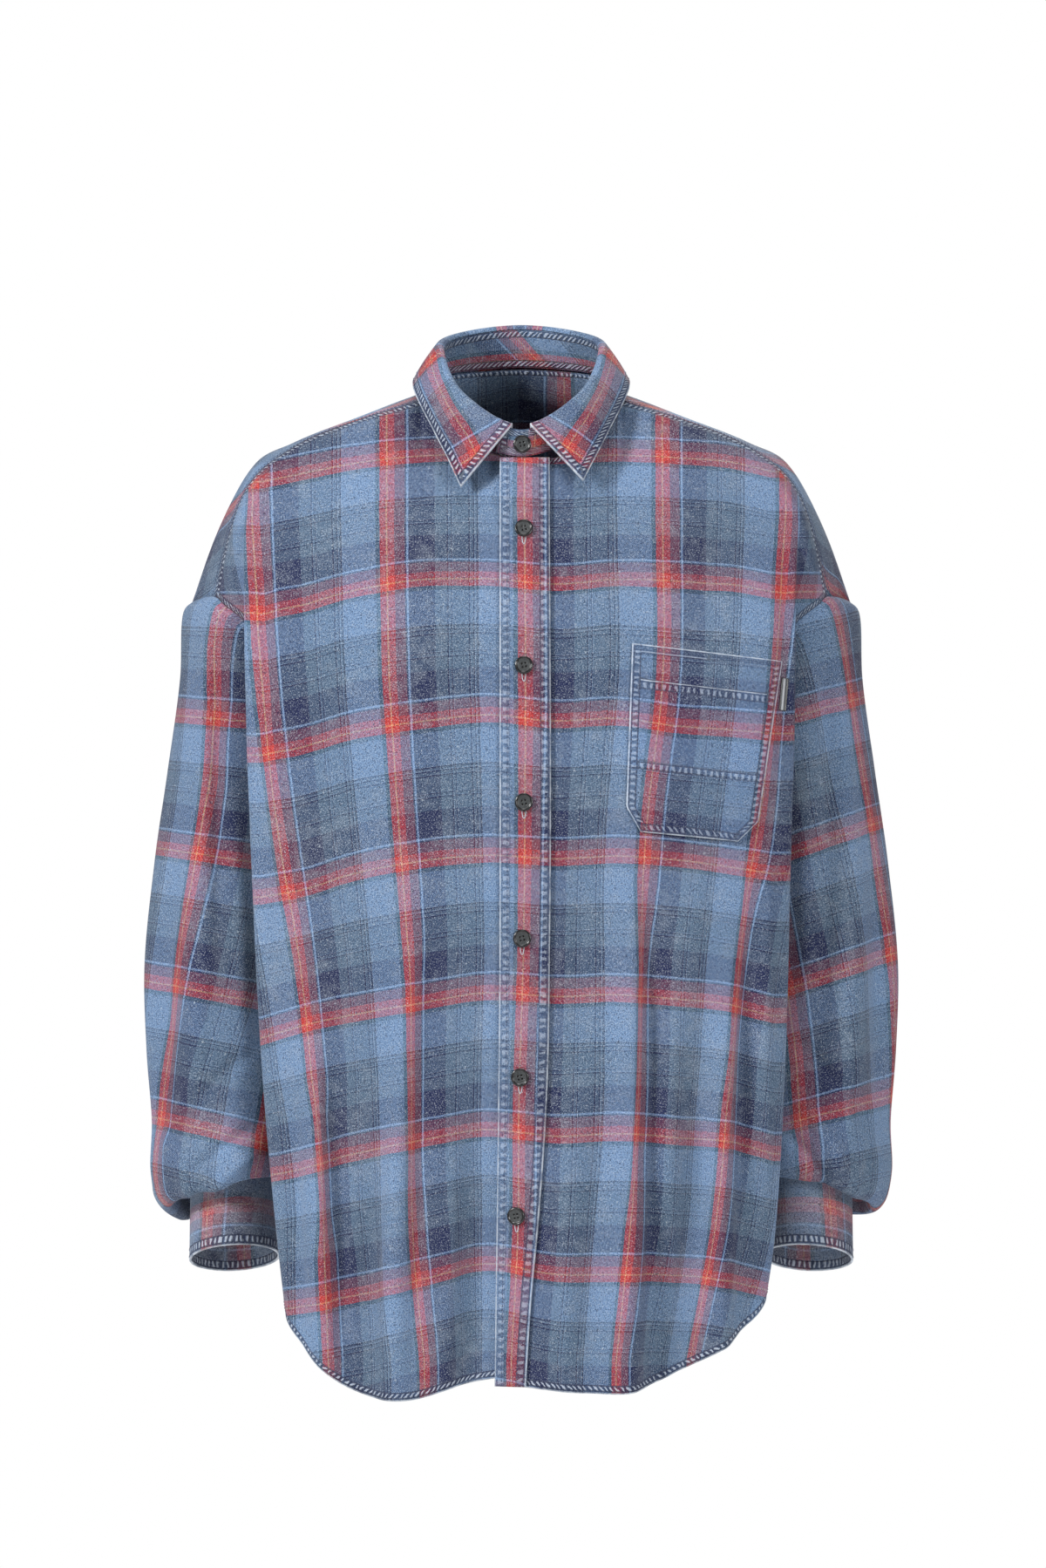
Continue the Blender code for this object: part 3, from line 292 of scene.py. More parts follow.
@dataclass(frozen=True)
class Cut:
    """The shirt's sections, for the wearer's left. The other side mirrors them.

    Across, a panel goes from its centre line at 0 to its outer edge at 1, and down, its drop
    goes from its yoke seam at 0 to its hem at 1. The armhole's places go round it once.

    Attributes:
        underarm, back_yoke_end, crest_place: places round the armhole.
        side_neck_turn: the place round the neck where the shoulder starts.
        neck_across: the share of a panel's top that the neckline takes.
        neck_fade: where across the neck's fall gives way to the shoulder's.
        breast_share, brow_share: shares of the way to the ridge, at breast and brow.
        return_shares: shares of the way from the ridge to the edge.
        roll_depth: how far behind its ridge an edge lies where a panel rolls in fully.
        brow_bulge, return_bulges: how far a full roll moves those points.
        fold_facing: gain and loss by which a fold fades where the cloth turns from the front.
        fall_drop, neck_fall, front_fall, back_fall: how far down the first stretch below a
            seam goes, and the way it goes.
        yoke_rows: the yoke's four lines, as shares of its way down.
        crest_facing, underarm_facing: the ways in which a sleeve leaves the armhole.
        sleeve_start, sleeve_start_along: how far it goes that way, and its place along it.
        seam_turn: how far past the placket's seam a front starts.
        underlap_gap: how much further the right one does.
    """

    neck: Table = sized(
        # turn, base x, y, z, top x, y, z, leaf x, y, z
        (0, 0, -80, -56, 0, -79, -33, 49, -95, -74),
        (0.25, 52, -60, -37, 43, -59, -8, 68, -69, -36),
        (0.5, 80, -25, -7, 61, -22, 25, 86, -20, 4), (0.75, 66, 30, 14, 55, 23, 44, 74, 45, 13),
        (1, 0, 58, 22, 0, 49, 54, 0, 79, 8),
    )
    shoulder: Table = sized(
        # reach, front x, y, z, crest x, y, z, back x, y, z
        (-1, 0, 58, 22, 0, 75, -6, 0, 109.5, -84),
        (-0.5, 66, 30, 14, 54, 59, -3, 22.5, 109.3, -84.3),
        (0, 80, -25, -7, 88, 23, -3, 48, 108.5, -85),
        (0.25, 130, -33, -23.5, 132, 7, -21, 110, 105, -89),
        (0.5, 180, -37, -44.5, 182, 5, -40.5, 168, 97, -101),
        (0.68, 212, -40, -69, 214, 5, -57, 203, 87, -118),
        (0.78, 223.5, -43, -88, 230, 5, -79, 218, 82, -130),
        (0.9, 235, -47, -126, 248, 5.5, -118, 233, 74, -148),
        (1, 242.5, -50, -165, 264, 6, -168, 243, 64, -169),
    )
    yoke_fullness: Table = sized(
        # reach, out along x, y, z
        (-1, 0, 8, 12), (-0.5, 4, 14, 13), (0, 6, 24, 14), (0.25, 2, 24, 12), (0.5, 0, 18, 9),
        (0.78, 3, 7, 5), (1, 4, 3, 4),
    )
    hole: Table = sized(
        # round, x, y, z
        (0, 242.5, -50, -165), (0.06, 235, -64, -172), (0.13, 218, -70, -186),
        (0.21, 194, -61, -217), (0.3, 169, -36, -264), (0.4, 158, 2, -300), (0.5, 169, 42, -264),
        (0.59, 193, 68, -218), (0.68, 218, 77, -189), (0.77, 243, 64, -169), (0.89, 264, 6, -168),
        (1, 242.5, -50, -165),
    )
    side: Table = sized(
        # drop, x, y, z
        (0.46, 158, 2, -300), (0.53, 152, 2, -360), (0.6, 150, 2, -415), (0.76, 149, 2, -540),
        (0.89, 149, 2, -630), (1, 148, 2, -690),
    )
    front: Table = sized(
        # drop, centre y, z, ridge x right, ridge x left, ridge y, z
        (0.1, -96, -100, 219, 218, -64, -120), (0.19, -112, -155, 218.4, 216.3, -86, -170),
        (0.28, -125, -220, 217.5, 216.3, -96, -228), (0.37, -132, -288, 216, 215.2, -99, -292),
        (0.46, -135, -356, 213.5, 213, -99, -356), (0.6, -137, -464, 209, 210.5, -97, -460),
        (0.76, -137, -590, 201.5, 206.2, -94, -578), (0.89, -136, -695, 193, 200, -90, -670),
        (1, -134, -780, 186, 193.5, -86, -738),
    )
    back: Table = sized(
        # drop, centre y, z, ridge x, y, z
        (0.1, 118, -136, 215, 91, -168), (0.19, 123, -185, 213, 96, -205),
        (0.28, 124, -242, 211, 98, -248), (0.37, 124, -303, 208, 98, -302),
        (0.46, 123, -365, 205, 97, -360), (0.6, 121, -468, 202, 95, -462),
        (0.76, 119, -593, 199, 92, -580), (0.89, 118, -698, 195, 89, -674),
        (1, 117, -795, 189, 86, -748),
    )
    hem: Table = sized(
        # across, right front, left front, back
        (0, -777.5, -787, -800), (0.2, -787, -791.5, -800), (0.36, -797.8, -790.5, -798),
        (0.5, -795, -774, -790), (0.62, -779, -759, -776), (0.72, -756, -740, -760),
        (0.8, -734, -720, -742), (0.9, -710, -703, -712), (1, -690, -690, -690),
    )
    placket: Table = sized(
        # z, free edge x, sewn edge x
        (-790, -19.6, 4.1), (-720, -18.8, 8.5), (-660, -18, 14), (-560, -17.4, 20.5),
        (-440, -17.1, 22.6), (-50, -17.1, 22.6),
        shares=0)
    front_folds: Table = sized(
        # x at top, x at hem, out, width, top z, full z
        (-175, -156, 6, 14, -480, -660), (-130, -124, -5, 16, -540, -720),
        (-100, -96, 7, 18, -500, -700), (-40, -34, -13, 26, -420, -700),
        (50, 44, 10, 30, -440, -720), (118, 84, 8, 16, -420, -680),
        (150, 112, -7, 15, -440, -700), (178, 158, 6, 13, -560, -700),
        shares=0)
    back_folds: Table = sized(
        (-120, -104, 8, 20, -300, -600), (-60, -50, -6, 20, -260, -560),
        (0, 6, 6, 20, -360, -620), (70, 60, -6, 20, -300, -580), (130, 116, 8, 20, -340, -640),
        shares=0)
    sleeve: Table = (
        # along, x, y, z, half width, half depth, lean, pitch
        (0.1, 0.2222, 0.005, -0.268, 0.0513, 0.066, 0.78, 0),
        (0.2, 0.2265, 0.005, -0.328, 0.057, 0.068, 0.45, 0),
        (0.32, 0.2315, 0.004, -0.39, 0.0625, 0.07, 0.22, 0),
        (0.45, 0.235, 0.002, -0.46, 0.0645, 0.071, 0.08, 0),
        (0.57, 0.234, 0, -0.528, 0.062, 0.071, 0, -0.04),
        (0.67, 0.233, -0.001, -0.58, 0.06, 0.07, -0.06, -0.08),
        (0.76, 0.235, -0.002, -0.616, 0.061, 0.072, -0.14, -0.12),
        (0.84, 0.235, -0.003, -0.638, 0.056, 0.063, -0.2, -0.18),
        (0.9, 0.232, -0.004, -0.643, 0.0495, 0.057, -0.22, -0.24),
        (0.95, 0.23, -0.004, -0.6315, 0.044, 0.0515, -0.12, -0.28),
        (1, 0.23, -0.004, -0.624, 0.0345, 0.0425, -0.06, -0.3),
    )
    sleeve_folds: Table = (
        # angle, out, width, start, end, slant
        (-1.15, 0.005, 0.26, 0.2, 0.8, 0.35), (-0.62, -0.005, 0.24, 0.24, 0.78, 0.3),
        (-0.15, 0.0045, 0.24, 0.3, 0.84, 0.2), (0.7, -0.005, 0.26, 0.22, 0.8, -0.3),
        (1.3, 0.005, 0.26, 0.26, 0.84, -0.3), (2.2, -0.003, 0.3, 0.36, 0.8, 0.1),
    )
    underarm: float = 0.4
    back_yoke_end: float = 0.77
    crest_place: float = 0.89
    side_neck_turn: float = 0.5
    neck_across: float = 0.26
    neck_fade: Pair = (0.15, 0.45)
    breast_across: float = 0.42
    breast_share: Point = (0.55, 0.17, 0.5)
    brow_across: float = 0.7
    brow_share: float = 0.2
    ridge_across: float = 0.8
    return_across: Point = (0.85, 0.91, 0.955)
    return_shares: Point = (0.16, 0.52, 0.78)
    edge_blend: float = 0.1
    roll_depth: float = 0.06
    brow_bulge: Point = (0.0, -0.008, 0.0)
    return_bulges: Table = ((0.004, -0.001, 0.0), (-0.012, -0.003, 0.0),
                            (-0.013, 0.001, 0.0))
    fold_facing: Pair = (1.8, 0.5)
    fall_drop: float = 0.03
    neck_fall: Point = (0.0, -0.005, -0.014)
    front_fall: Point = (0.0, -0.015, -0.011)
    back_fall: Point = (0.0, 0.003, -0.015)
    yoke_rows: Tuple[float, ...] = (0.0, 0.3, 0.68, 1.0)
    blade_share: float = 0.55
    yoke_fade: float = 0.55
    fine_places: int = 721
    crest_facing: Point = (0.72, 0.0, -0.69)
    underarm_facing: Point = (0.95, 0.0, -0.3)
    underarm_fade: Pair = (-0.2, 0.9)
    sleeve_start: float = 0.009
    sleeve_start_along: float = 0.03
    seam_turn: float = 0.0046
    underlap_gap: float = 0.002

    def neck_curve(self, turn: Array, line: NeckLine) -> Array:
        """Reads a ring of the neck, from centre front (turn 0) to centre back (turn 1).

        Args:
            turn: places round the half ring.
            line: which ring.
        Returns:
            Points on the +X half, smooth across the middle.
        """
        turns = columns(self.neck, 0, 0)[:, 0]
        ring = columns(self.neck, line.value, line.value + 2)
        front = 2.0 * ring[:1] - ring[1:2] if line is NeckLine.LEAF else ring[1:2] * FLIP
        knots = np.concatenate([[-turns[1]], turns, [2.0 - turns[-2]]])
        return smooth(knots, np.concatenate([front, ring, ring[-2:-1] * FLIP]), turn)

    def shoulder_curve(self, reach: Array, line: ShoulderLine) -> Array:
        """Reads a line of the shoulder, from the centre back (-1) to the armhole (1)."""
        return read(self.shoulder, line.value, line.value + 2, reach)

    def armhole(self, place: Array) -> Array:
        """Reads the armhole ring, a closed smooth curve.

        Args:
            place: places round it, 0 to 1.
        Returns:
            A point for each place.
        """
        ring = columns(self.hole, 1, 3)
        knots = columns(self.hole, 0, 0)[:, 0]
        knots = np.concatenate([knots[-3:-1] - 1.0, knots, knots[1:3] + 1.0])
        return smooth(knots, np.concatenate([ring[-3:-1], ring, ring[1:3]]), place)

    def outer_edge(self, drops: Array, start: float) -> Array:
        """A body panel's outer edge: the armhole from its yoke seam, then the side seam.

        Args:
            drops: places down the panel, 0 at the yoke seam and 1 at the hem.
            start: the place round the armhole where the panel's yoke seam ends.
        Returns:
            One point for each place.
        """
        seam_drop = self.side[0][0]
        share = np.clip(drops / seam_drop, 0.0, 1.0)
        ring = self.armhole(start + (self.underarm - start) * share)
        return np.where((drops < seam_drop)[:, None], ring, read(self.side, 1, 3, drops))

    def section(self, centre: Array, ridge: Array, edge: Array, across: Array) -> Array:
        """One section of a panel, from its centre, over its ridge and in to its edge.

        The points between are shares of the way, pushed out before the ridge and dipped in
        behind it as far as the panel rolls round the sleeve.

        Args:
            centre: the section's point on the centre line.
            ridge: its point furthest round before it turns in.
            edge: its end at the armhole or side seam.
            across: places across the panel.
        Returns:
            A point for each place.
        """
        toward = -np.sign(centre[1])
        roll = float(np.clip((edge[1] - ridge[1]) * toward / self.roll_depth, 0.0, 1.0))
        side = np.array([1.0, toward, 1.0])
        breast = centre + (ridge - centre) * np.array(self.breast_share)
        brow = ridge + (breast - ridge) * self.brow_share + roll * np.array(self.brow_bulge) * side
        back = [ridge + (edge - ridge) * share + roll * np.array(bulge) * side
                for share, bulge in zip(self.return_shares, self.return_bulges)]
        beyond = centre + (centre - breast) * np.array([1.0, -1.0, -1.0])
        knots = (-self.breast_across, 0.0, self.breast_across, self.brow_across,
                 self.ridge_across, *self.return_across, 1.0)
        return smooth(knots, np.array([beyond, centre, breast, brow, ridge, *back, edge]), across)

    def panel(self, top: Array, fall: Point, sections: Sequence, start: float, drops: Array,
              across: Array, hem: Array) -> Array:
        """A half panel: a smooth surface down through its top curve, sections and hem.

        Args:
            top: the curve of its upper seam.
            fall: how its first stretch leaves that seam.
            sections: drop, centre and ridge of each section.
            start: the armhole place of its yoke seam.
            drops: places down the panel.
            across: places across it.
            hem: the hem's height across it.
        Returns:
            A net, rows down and columns across.
        """
        share = ramp(across, *self.neck_fade)[:, None]
        first = top + np.array(self.neck_fall) * (1.0 - share) + np.array(fall) * share
        end = ramp(across, self.ridge_across, 1.0)[:, None]
        knot_drops = np.array([self.fall_drop] + [row[0] for row in sections])
        edges = self.outer_edge(knot_drops, start)
        corner = self.outer_edge(np.zeros(1), start)[0]
        first = first * (1.0 - end) + (top + edges[0] - corner) * end
        curves = [top, first]
        for (drop, centre, ridge), edge in zip(sections, edges[1:]):
            curve = self.section(np.array(centre), np.array(ridge), edge, across)
            if drop == 1.0:
                curve[:, 2] = hem
            curves.append(curve)
        net = smooth(np.concatenate([[0.0], knot_drops]), np.array(curves), drops)
        miss = (self.outer_edge(drops, start) - net[:, -1])[:, None, :]
        net = net + miss * ramp(across, self.ridge_across - self.edge_blend, 1.0)[None, :, None]
        net[0] = top
        return net

    def fold(self, net: Array, folds: Table, forward: float) -> Array:
        """Pushes each fold out along Y: a hill across, easing in down the cloth.

        Args:
            net: a panel's positions.
            folds: the folds' table.
            forward: the sign of Y that is outwards.
        Returns:
            The folded net.
        """
        x, z = net[..., 0], net[..., 2]
        low = self.hem[0][3]
        out = np.zeros(x.shape)
        for x_top, x_hem, rise, width, z_top, z_full in folds:
            line = x_top + (x_hem - x_top) * np.clip((z_top - z) / (z_top - low), 0.0, 1.0)
            out += rise * hill(x - line, 0.0, width) * ramp(-z, -z_top, -z_full)
        gain, least = self.fold_facing
        facing = np.clip(gain * np.abs(net_normals(net)[..., 1]) - least, 0.0, 1.0)
        folded = net.copy()
        folded[..., 1] += forward * out * facing
        return folded

    def placket_edges(self, height: Array) -> Array:
        """The placket's free and sewn edges at these heights."""
        return read(self.placket, 1, 2, height)

    def neck_and_seam(self, across: Array, turn: Array, reach: Array) -> Array:
        """The neckline, then the front yoke seam.

        Args:
            across: places across the panel.
            turn: their places round the neck.
            reach: their places along the shoulder.
        Returns:
            A point for each place.
        """
        neck = self.neck_curve(turn, NeckLine.BASE)
        seam = self.shoulder_curve(reach, ShoulderLine.FRONT)
        return np.where((across < self.neck_across)[:, None], neck, seam)

    def front_half(self, side: Side, across: Array, drops: Array) -> Array:
        """A front on the +X side, unfolded, its first column on the centre line.

        Args:
            side: whose ridge and hem it has.
            across: places across it.
            drops: places down it.
        Returns:
            The net.
        """
        ridge_column, hem_column = (3, 1) if side is Side.RIGHT else (4, 2)
        sections = [(row[0], (0.0, row[1], row[2]), (row[ridge_column], row[5], row[6]))
                    for row in self.front]
        inner = np.clip(across / self.neck_across, 0.0, 1.0) * self.side_neck_turn
        outer = np.clip((across - self.neck_across) / (1.0 - self.neck_across), 0.0, 1.0)
        top = self.neck_and_seam(across, inner, outer)
        hem = read(self.hem, hem_column, hem_column, across)[:, 0]
        return self.panel(top, self.front_fall, sections, 0.0, drops, across, hem)

    def yoke_reach(self, across: Array) -> Array:
        """Reach of the yoke's columns: the share behind the neck first, then the shoulder.

        Args:
            across: places across half the yoke.
        Returns:
            A reach for each place, -1 to 1.
        """
        behind = across / self.neck_across - 1.0
        out = (across - self.neck_across) / (1.0 - self.neck_across)
        return np.where(across < self.neck_across, behind, out)

    def back_half(self, across: Array, drops: Array) -> Array:
        """Half of the back on the +X side, unfolded.

        Args:
            across: places across it.
            drops: places down it.
        Returns:
            The net.
        """
        sections = [(row[0], (0.0, row[1], row[2]), row[3:6]) for row in self.back]
        hem = read(self.hem, 3, 3, across)[:, 0]
        top = self.shoulder_curve(self.yoke_reach(across), ShoulderLine.BACK)
        return self.panel(top, self.back_fall, sections, self.back_yoke_end, drops, across, hem)

    def yoke_half(self, across: Array, down: Array) -> Array:
        """Half of the yoke: rows from the neckline and front seam back to the back seam.

        Args:
            across: places across it.
            down: places from its front edge to its back seam.
        Returns:
            The net.
        """
        reach = self.yoke_reach(across)
        turn = 1.0 - np.clip(across / self.neck_across, 0.0, 1.0) * (1.0 - self.side_neck_turn)
        top = self.neck_and_seam(across, turn, np.maximum(reach, 0.0))
        crest = self.shoulder_curve(reach, ShoulderLine.CREST)
        back = self.shoulder_curve(reach, ShoulderLine.BACK)
        blade = crest + (back - crest) * self.blade_share + read(self.yoke_fullness, 1, 3, reach)
        rows = smooth(self.yoke_rows, np.array([top, crest, blade, back]), down)
        hole = self.armhole(1.0 + (self.back_yoke_end - 1.0) * down)
        fade = ramp(reach, self.yoke_fade, 1.0)[None, :, None]
        return rows + (hole - rows[:, -1])[:, None, :] * fade

    def sleeve_places(self, angle: Array) -> Array:
        """Places round the armhole for angles round the sleeve.

        The angle is 0 outside, where the crest is, and half a turn under the arm; the front is
        minus. Between those two it follows the armhole's length.

        Args:
            angle: angles from half a turn at the back to minus half a turn at the front.
        Returns:
            A place for each angle, past 1 where it goes round the front.
        """
        fine = np.linspace(self.underarm, self.underarm + 1.0, self.fine_places)
        ring = self.armhole(np.mod(fine, 1.0))
        walk = np.append(0.0, np.cumsum(np.linalg.norm(np.diff(ring, axis=0), axis=1)))
        crest = np.interp(self.crest_place, fine, walk)
        turns = np.interp(walk, [0.0, crest, walk[-1]], [np.pi, 0.0, -np.pi])
        return np.interp(-angle, -turns, fine)

    def sleeve_ring(self, row: Sequence[float], angle: Array) -> Array:
        """One oval of the sleeve: its width along X, its depth along Y, leaning by its slopes.

        Args:
            row: x, y, z, half width, half depth, lean and pitch.
            angle: angles round it.
        Returns:
            A point for each angle.
        """
        x, y, z, wide, deep, lean, pitch = row
        across = wide * np.cos(angle)
        back = deep * np.sin(angle)
        return np.stack([x + across, y + back, z + lean * across + pitch * back], axis=1)

    def sleeve_net(self, angle: Array, stops: Array) -> Array:
        """A sleeve for the wearer's left: from the armhole through its ovals to the cuff.

        Args:
            angle: angles round the sleeve, one for each column.
            stops: places along the sleeve, one for each row.
        Returns:
            The net, with its long soft folds pushed out.
        """
        ring = self.armhole(np.mod(self.sleeve_places(angle), 1.0))
        low = ramp(-np.cos(angle), *self.underarm_fade)[:, None]
        facing = np.array(self.crest_facing) * (1.0 - low) + np.array(self.underarm_facing) * low
        curves = [ring, ring + facing * self.sleeve_start]
        curves += [self.sleeve_ring(row[1:], angle) for row in self.sleeve]
        knots = [0.0, self.sleeve_start_along] + [row[0] for row in self.sleeve]
        net = smooth(knots, np.array(curves), stops)
        out = unit(net - net[:, :-1].mean(axis=1, keepdims=True))
        push = np.zeros(net.shape[:2])
        for at, rise, width, start, end, slant in self.sleeve_folds:
            line = at + slant * (stops[:, None] - 0.5)
            off = np.angle(np.exp(1j * (angle[None, :] - line)))
            half = 0.5 * (start + end)
            window = ramp(stops, start, half) * ramp(-stops, -end, -half)
            push += rise * hill(off, 0.0, width) * window[:, None]
        return net + push[..., None] * out


CUT = Cut()


# ================================================================ cloth
@dataclass
class Cloth:
    """A sewn piece's middle surface: rows down it, columns across or round it.

    Attributes:
        net: the positions.
        cut: the place in the flat cloth, in metres along the weft and down the warp.
        trim: the run along the nearest stitched edge and the distance from it, in metres.
        closed: whether the last column is the first one again.
        inside_out: whether the way across crossed with the way down points inwards.
        wall: its thickness, known once it is laid.
    """

    net: Array
    cut: Array
    trim: Array
    closed: bool = False
    inside_out: bool = False
    wall: float = 0.0

    def normals(self) -> Array:
        """Unit normals, pointing outwards."""
        if self.closed:
            normal = net_normals(self.net[:, :-1], closed=True)
            normal = np.concatenate([normal, normal[:, :1]], axis=1)
        else:
            normal = net_normals(self.net)
        return -normal if self.inside_out else normal

    def push(self, out: Array) -> None:
        """Moves every point out along its normal by its own amount."""
        self.net = self.net + self.normals() * out[..., None]

    def flat_size(self) -> Point:
        """The cut of what shows: its greatest width and length, and its area."""
        width = float(arc_across(self.net)[:, -1].max())
        length = float(arc_down(self.net)[-1].max())
        right = np.diff(self.net, axis=1)[:-1]
        down = np.diff(self.net, axis=0)[:, :-1]
        area = float(np.linalg.norm(np.cross(right, down), axis=-1).sum())
        return width, length, area


def trim_map(net: Array, edges: Sequence[str], seams: Sequence[str] = ()) -> Array:
    """Run along the nearest stitched edge, and distance from it.

    Args:
        net: the piece's positions.
        edges: finished edges among top, bottom, left and right.
        seams: stitched seams among them, which count as SEAM_OFFSET further away.
    Returns:
        Two values for each point; far from all of them where there is none.
    """
    down, across = arc_down(net), arc_across(net)
    away = {"top": down, "bottom": down[-1:] - down, "left": across,
            "right": across[:, -1:] - across}
    run = {"top": across, "bottom": across, "left": down, "right": down}
    names = list(edges) + list(seams)
    if not names:
        return np.full(net.shape[:2] + (2,), 1.0)
    far = np.stack([away[name] + (SEAM_OFFSET if name in seams else 0.0) for name in names])
    along = np.stack([run[name] + RUN_SHIFT * number for number, name in enumerate(names)])
    near = far.argmin(axis=0)[None]
    return np.stack([np.take_along_axis(along, near, 0)[0], np.take_along_axis(far, near, 0)[0]],
                    axis=-1)


@dataclass(frozen=True)
class Crease:
    """A soft ridge, or a trough where its rise is below 0, along a bowed line.

    Its places and widths are in the units of the plane it is laid in: photo pixels on what the
    photograph shows, metres elsewhere. Its profile is exp(-(off / width)^2), steeper by lean on
    one side, and it fades in and out over the share soft of its length.
    """

    start: Pair
    end: Pair
    rise: float
    width: float
    bow: float = 0.0
    lean: float = 0.0
    soft: float = 0.35

    def lift(self, a: Array, b: Array) -> Array:
        """How far the crease moves points out, in metres.

        Args:
            a: first coordinates of the points in the crease's plane.
            b: second coordinates.
        Returns:
            A distance for each point.
        """
        way = np.array(self.end) - np.array(self.start)
        length = float(np.hypot(*way))
        way = way / length
        along = ((a - self.start[0]) * way[0] + (b - self.start[1]) * way[1]) / length
        off = (b - self.start[1]) * way[0] - (a - self.start[0]) * way[1]
        off = off - self.bow * np.clip(1.0 - (2.0 * along - 1.0) ** 2, 0.0, 1.0)
        width = self.width * (1.0 + self.lean * np.tanh(off / self.width))
        fade = ramp(along, -0.5 * self.soft, self.soft) * \
            ramp(-along, -1.0 - 0.5 * self.soft, -1.0 + self.soft)
        return self.rise * MM * np.exp(-(off / width) ** 2) * fade


def creased(creases: Sequence[Crease], a: Array, b: Array) -> Array:
    """The lifts of all these creases, added."""
    return sum((crease.lift(a, b) for crease in creases), np.zeros(np.shape(a)))


def crease_rows(*rows: Tuple[float, ...], per_unit: float = 1.0) -> Tuple[Crease, ...]:
    """Creases from rows of start, end, rise, width and, where they have them, bow and lean.

    Args:
        rows: the rows.
        per_unit: how many of their lengths make one of the plane's.
    Returns:
        A crease for each row.
    """
    creases = []
    for a, b, c, d, rise, width, *rest in rows:
        bow, lean = (rest + [0.0, 0.0])[:2]
        creases.append(Crease((a / per_unit, b / per_unit), (c / per_unit, d / per_unit), rise,
                              width / per_unit, bow / per_unit, lean))
    return tuple(creases)


@dataclass(frozen=True)
class Tuck:
    """Places and widths are photo pixels; swallowed is the width of cloth that goes, in pixels.
    Across the line the check's place gains swallowed / 2 * tanh(off / width) *
    exp(-(off / reach)^2), and along it the gain fades in and out.
    """

    start: Pair
    end: Pair
    swallowed: float
    width: float = 4.5
    reach: float = 46.0
    soft: float = 0.3

    def gain(self, x: Array, y: Array) -> Array:
        """Args:
            x: photo x of the points.
            y: photo y.
        Returns:
            Pixels for each point.
        """
        along = (y - self.start[1]) / (self.end[1] - self.start[1])
        line = self.start[0] + (self.end[0] - self.start[0]) * along
        fade = ramp(along, 0.0, self.soft) * ramp(-along, -1.0, -1.0 + self.soft)
        off = x - line
        return 0.5 * self.swallowed * np.tanh(off / self.width) * hill(off, 0.0, self.reach) * fade


@dataclass(frozen=True)
class CheckPlaces:
    """Where the check's red stripes and rows show, read off the photograph, in pixels.

    A stripe's number is how many repeats it lies to the viewer's right of the placket's, and a
    row's how many it lies below the one at the collar's tips.
    """

    repeat: float = REPEAT
    red_middle: float = 0.08
    stripe_numbers: Tuple[float, ...] = (-2.0, -1.0, 0.0, 1.0, 2.0)
    stripes: Table = (
        # height, x of each stripe
        (590, 293, 448, 606, 764, 905), (780, 304, 451, 607, 764, 891),
        (940, 323, 461, 606, 746, 874), (1100, 347, 472, 604, 737, 849),
        (1260, 364, 474, 599, 735, 835), (1410, 373, 477, 598, 727, 823),
        (1560, 380, 490, 590, 710, 794),
    )
    row_numbers: Tuple[float, ...] = (0.0, 1.0, 2.0, 3.0, 4.0, 5.0, 6.0)
    rows: Table = (
        # x, height of each row
        (300, 549, 699, 862, 1025, 1187, 1346, 1500),
        (345, 540, 690, 853, 1017, 1173, 1337, 1495),
        (400, 529, 675, 837, 1000, 1161, 1321, 1484), (480, 520, 662, 824, 984, 1147, 1305, 1465),
        (555, 518, 660, 816, 977, 1135, 1292, 1446), (640, 521, 666, 823, 981, 1139, 1299, 1458),
        (710, 519, 661, 820, 978, 1137, 1296, 1458), (780, 522, 663, 829, 983, 1142, 1301, 1459),
        (840, 527, 667, 833, 991, 1149, 1306, 1466), (885, 538, 675, 837, 998, 1161, 1319, 1478),
    )
    repeat_pixels: float = 158.0
    tucks: Tuple[Tuck, ...] = (
        Tuck((738.0, 1000.0), (727.0, 1440.0), 21.0),
        Tuck((862.0, 960.0), (838.0, 1290.0), 13.0),
        Tuck((364.0, 1230.0), (375.0, 1450.0), 15.0),
        Tuck((477.0, 1050.0), (470.0, 1420.0), 9.0),
        Tuck((906.0, 640.0), (876.0, 960.0), 5.0),
    )

    def stripe_at(self, x: Array, y: Array) -> Array:
        """How many repeats to the right of the placket's stripe a photo place lies.

        Args:
            x: photo x of the points.
            y: photo y.
        Returns:
            Repeats for each point.
        """
        knots = read(self.stripes, 1, len(self.stripe_numbers), y)
        gain = sum((tuck.gain(x, y) for tuck in self.tucks), np.zeros(x.shape))
        return spread(knots, np.array(self.stripe_numbers), x) + gain / self.repeat_pixels

    def row_at(self, x: Array, y: Array) -> Array:
        """How many repeats below the row at the collar's tips a photo place lies."""
        knots = read(self.rows, 1, len(self.row_numbers), x)
        return spread(knots, np.array(self.row_numbers), y)

    def follow(self, net: Array, flat_share: Array, toward: int) -> Array:
        """The cut of a panel that the photograph shows.

        Across, each step follows the stripes that show, and past them its own length of cloth.

        Args:
            net: the panel's positions, its first column at the placket.
            flat_share: for each column, how far it goes by its own length of cloth.
            toward: 1 where columns go to the viewer's right, -1 to the left.
        Returns:
            Metres along the weft and up the warp, for each point.
        """
        x, y = CAMERA.to_photo(net)
        stripe = self.stripe_at(x, y)
        own = toward * np.linalg.norm(np.diff(net, axis=1), axis=-1) / self.repeat
        share = 0.5 * (flat_share[1:] + flat_share[:-1])
        steps = np.diff(stripe, axis=1) * (1.0 - share) + own * share
        stripe = stripe[:, :1] + np.concatenate([np.zeros_like(stripe[:, :1]),
                                                 np.cumsum(steps, axis=1)], axis=1)
        return self.in_metres(stripe, self.row_at(x, y))

    def in_metres(self, stripe: Array, row: Array) -> Array:
        """Repeats across and down, as metres along the weft and up the warp."""
        return np.stack([stripe + self.red_middle, self.red_middle - row], axis=-1) * self.repeat


CHECK = CheckPlaces()


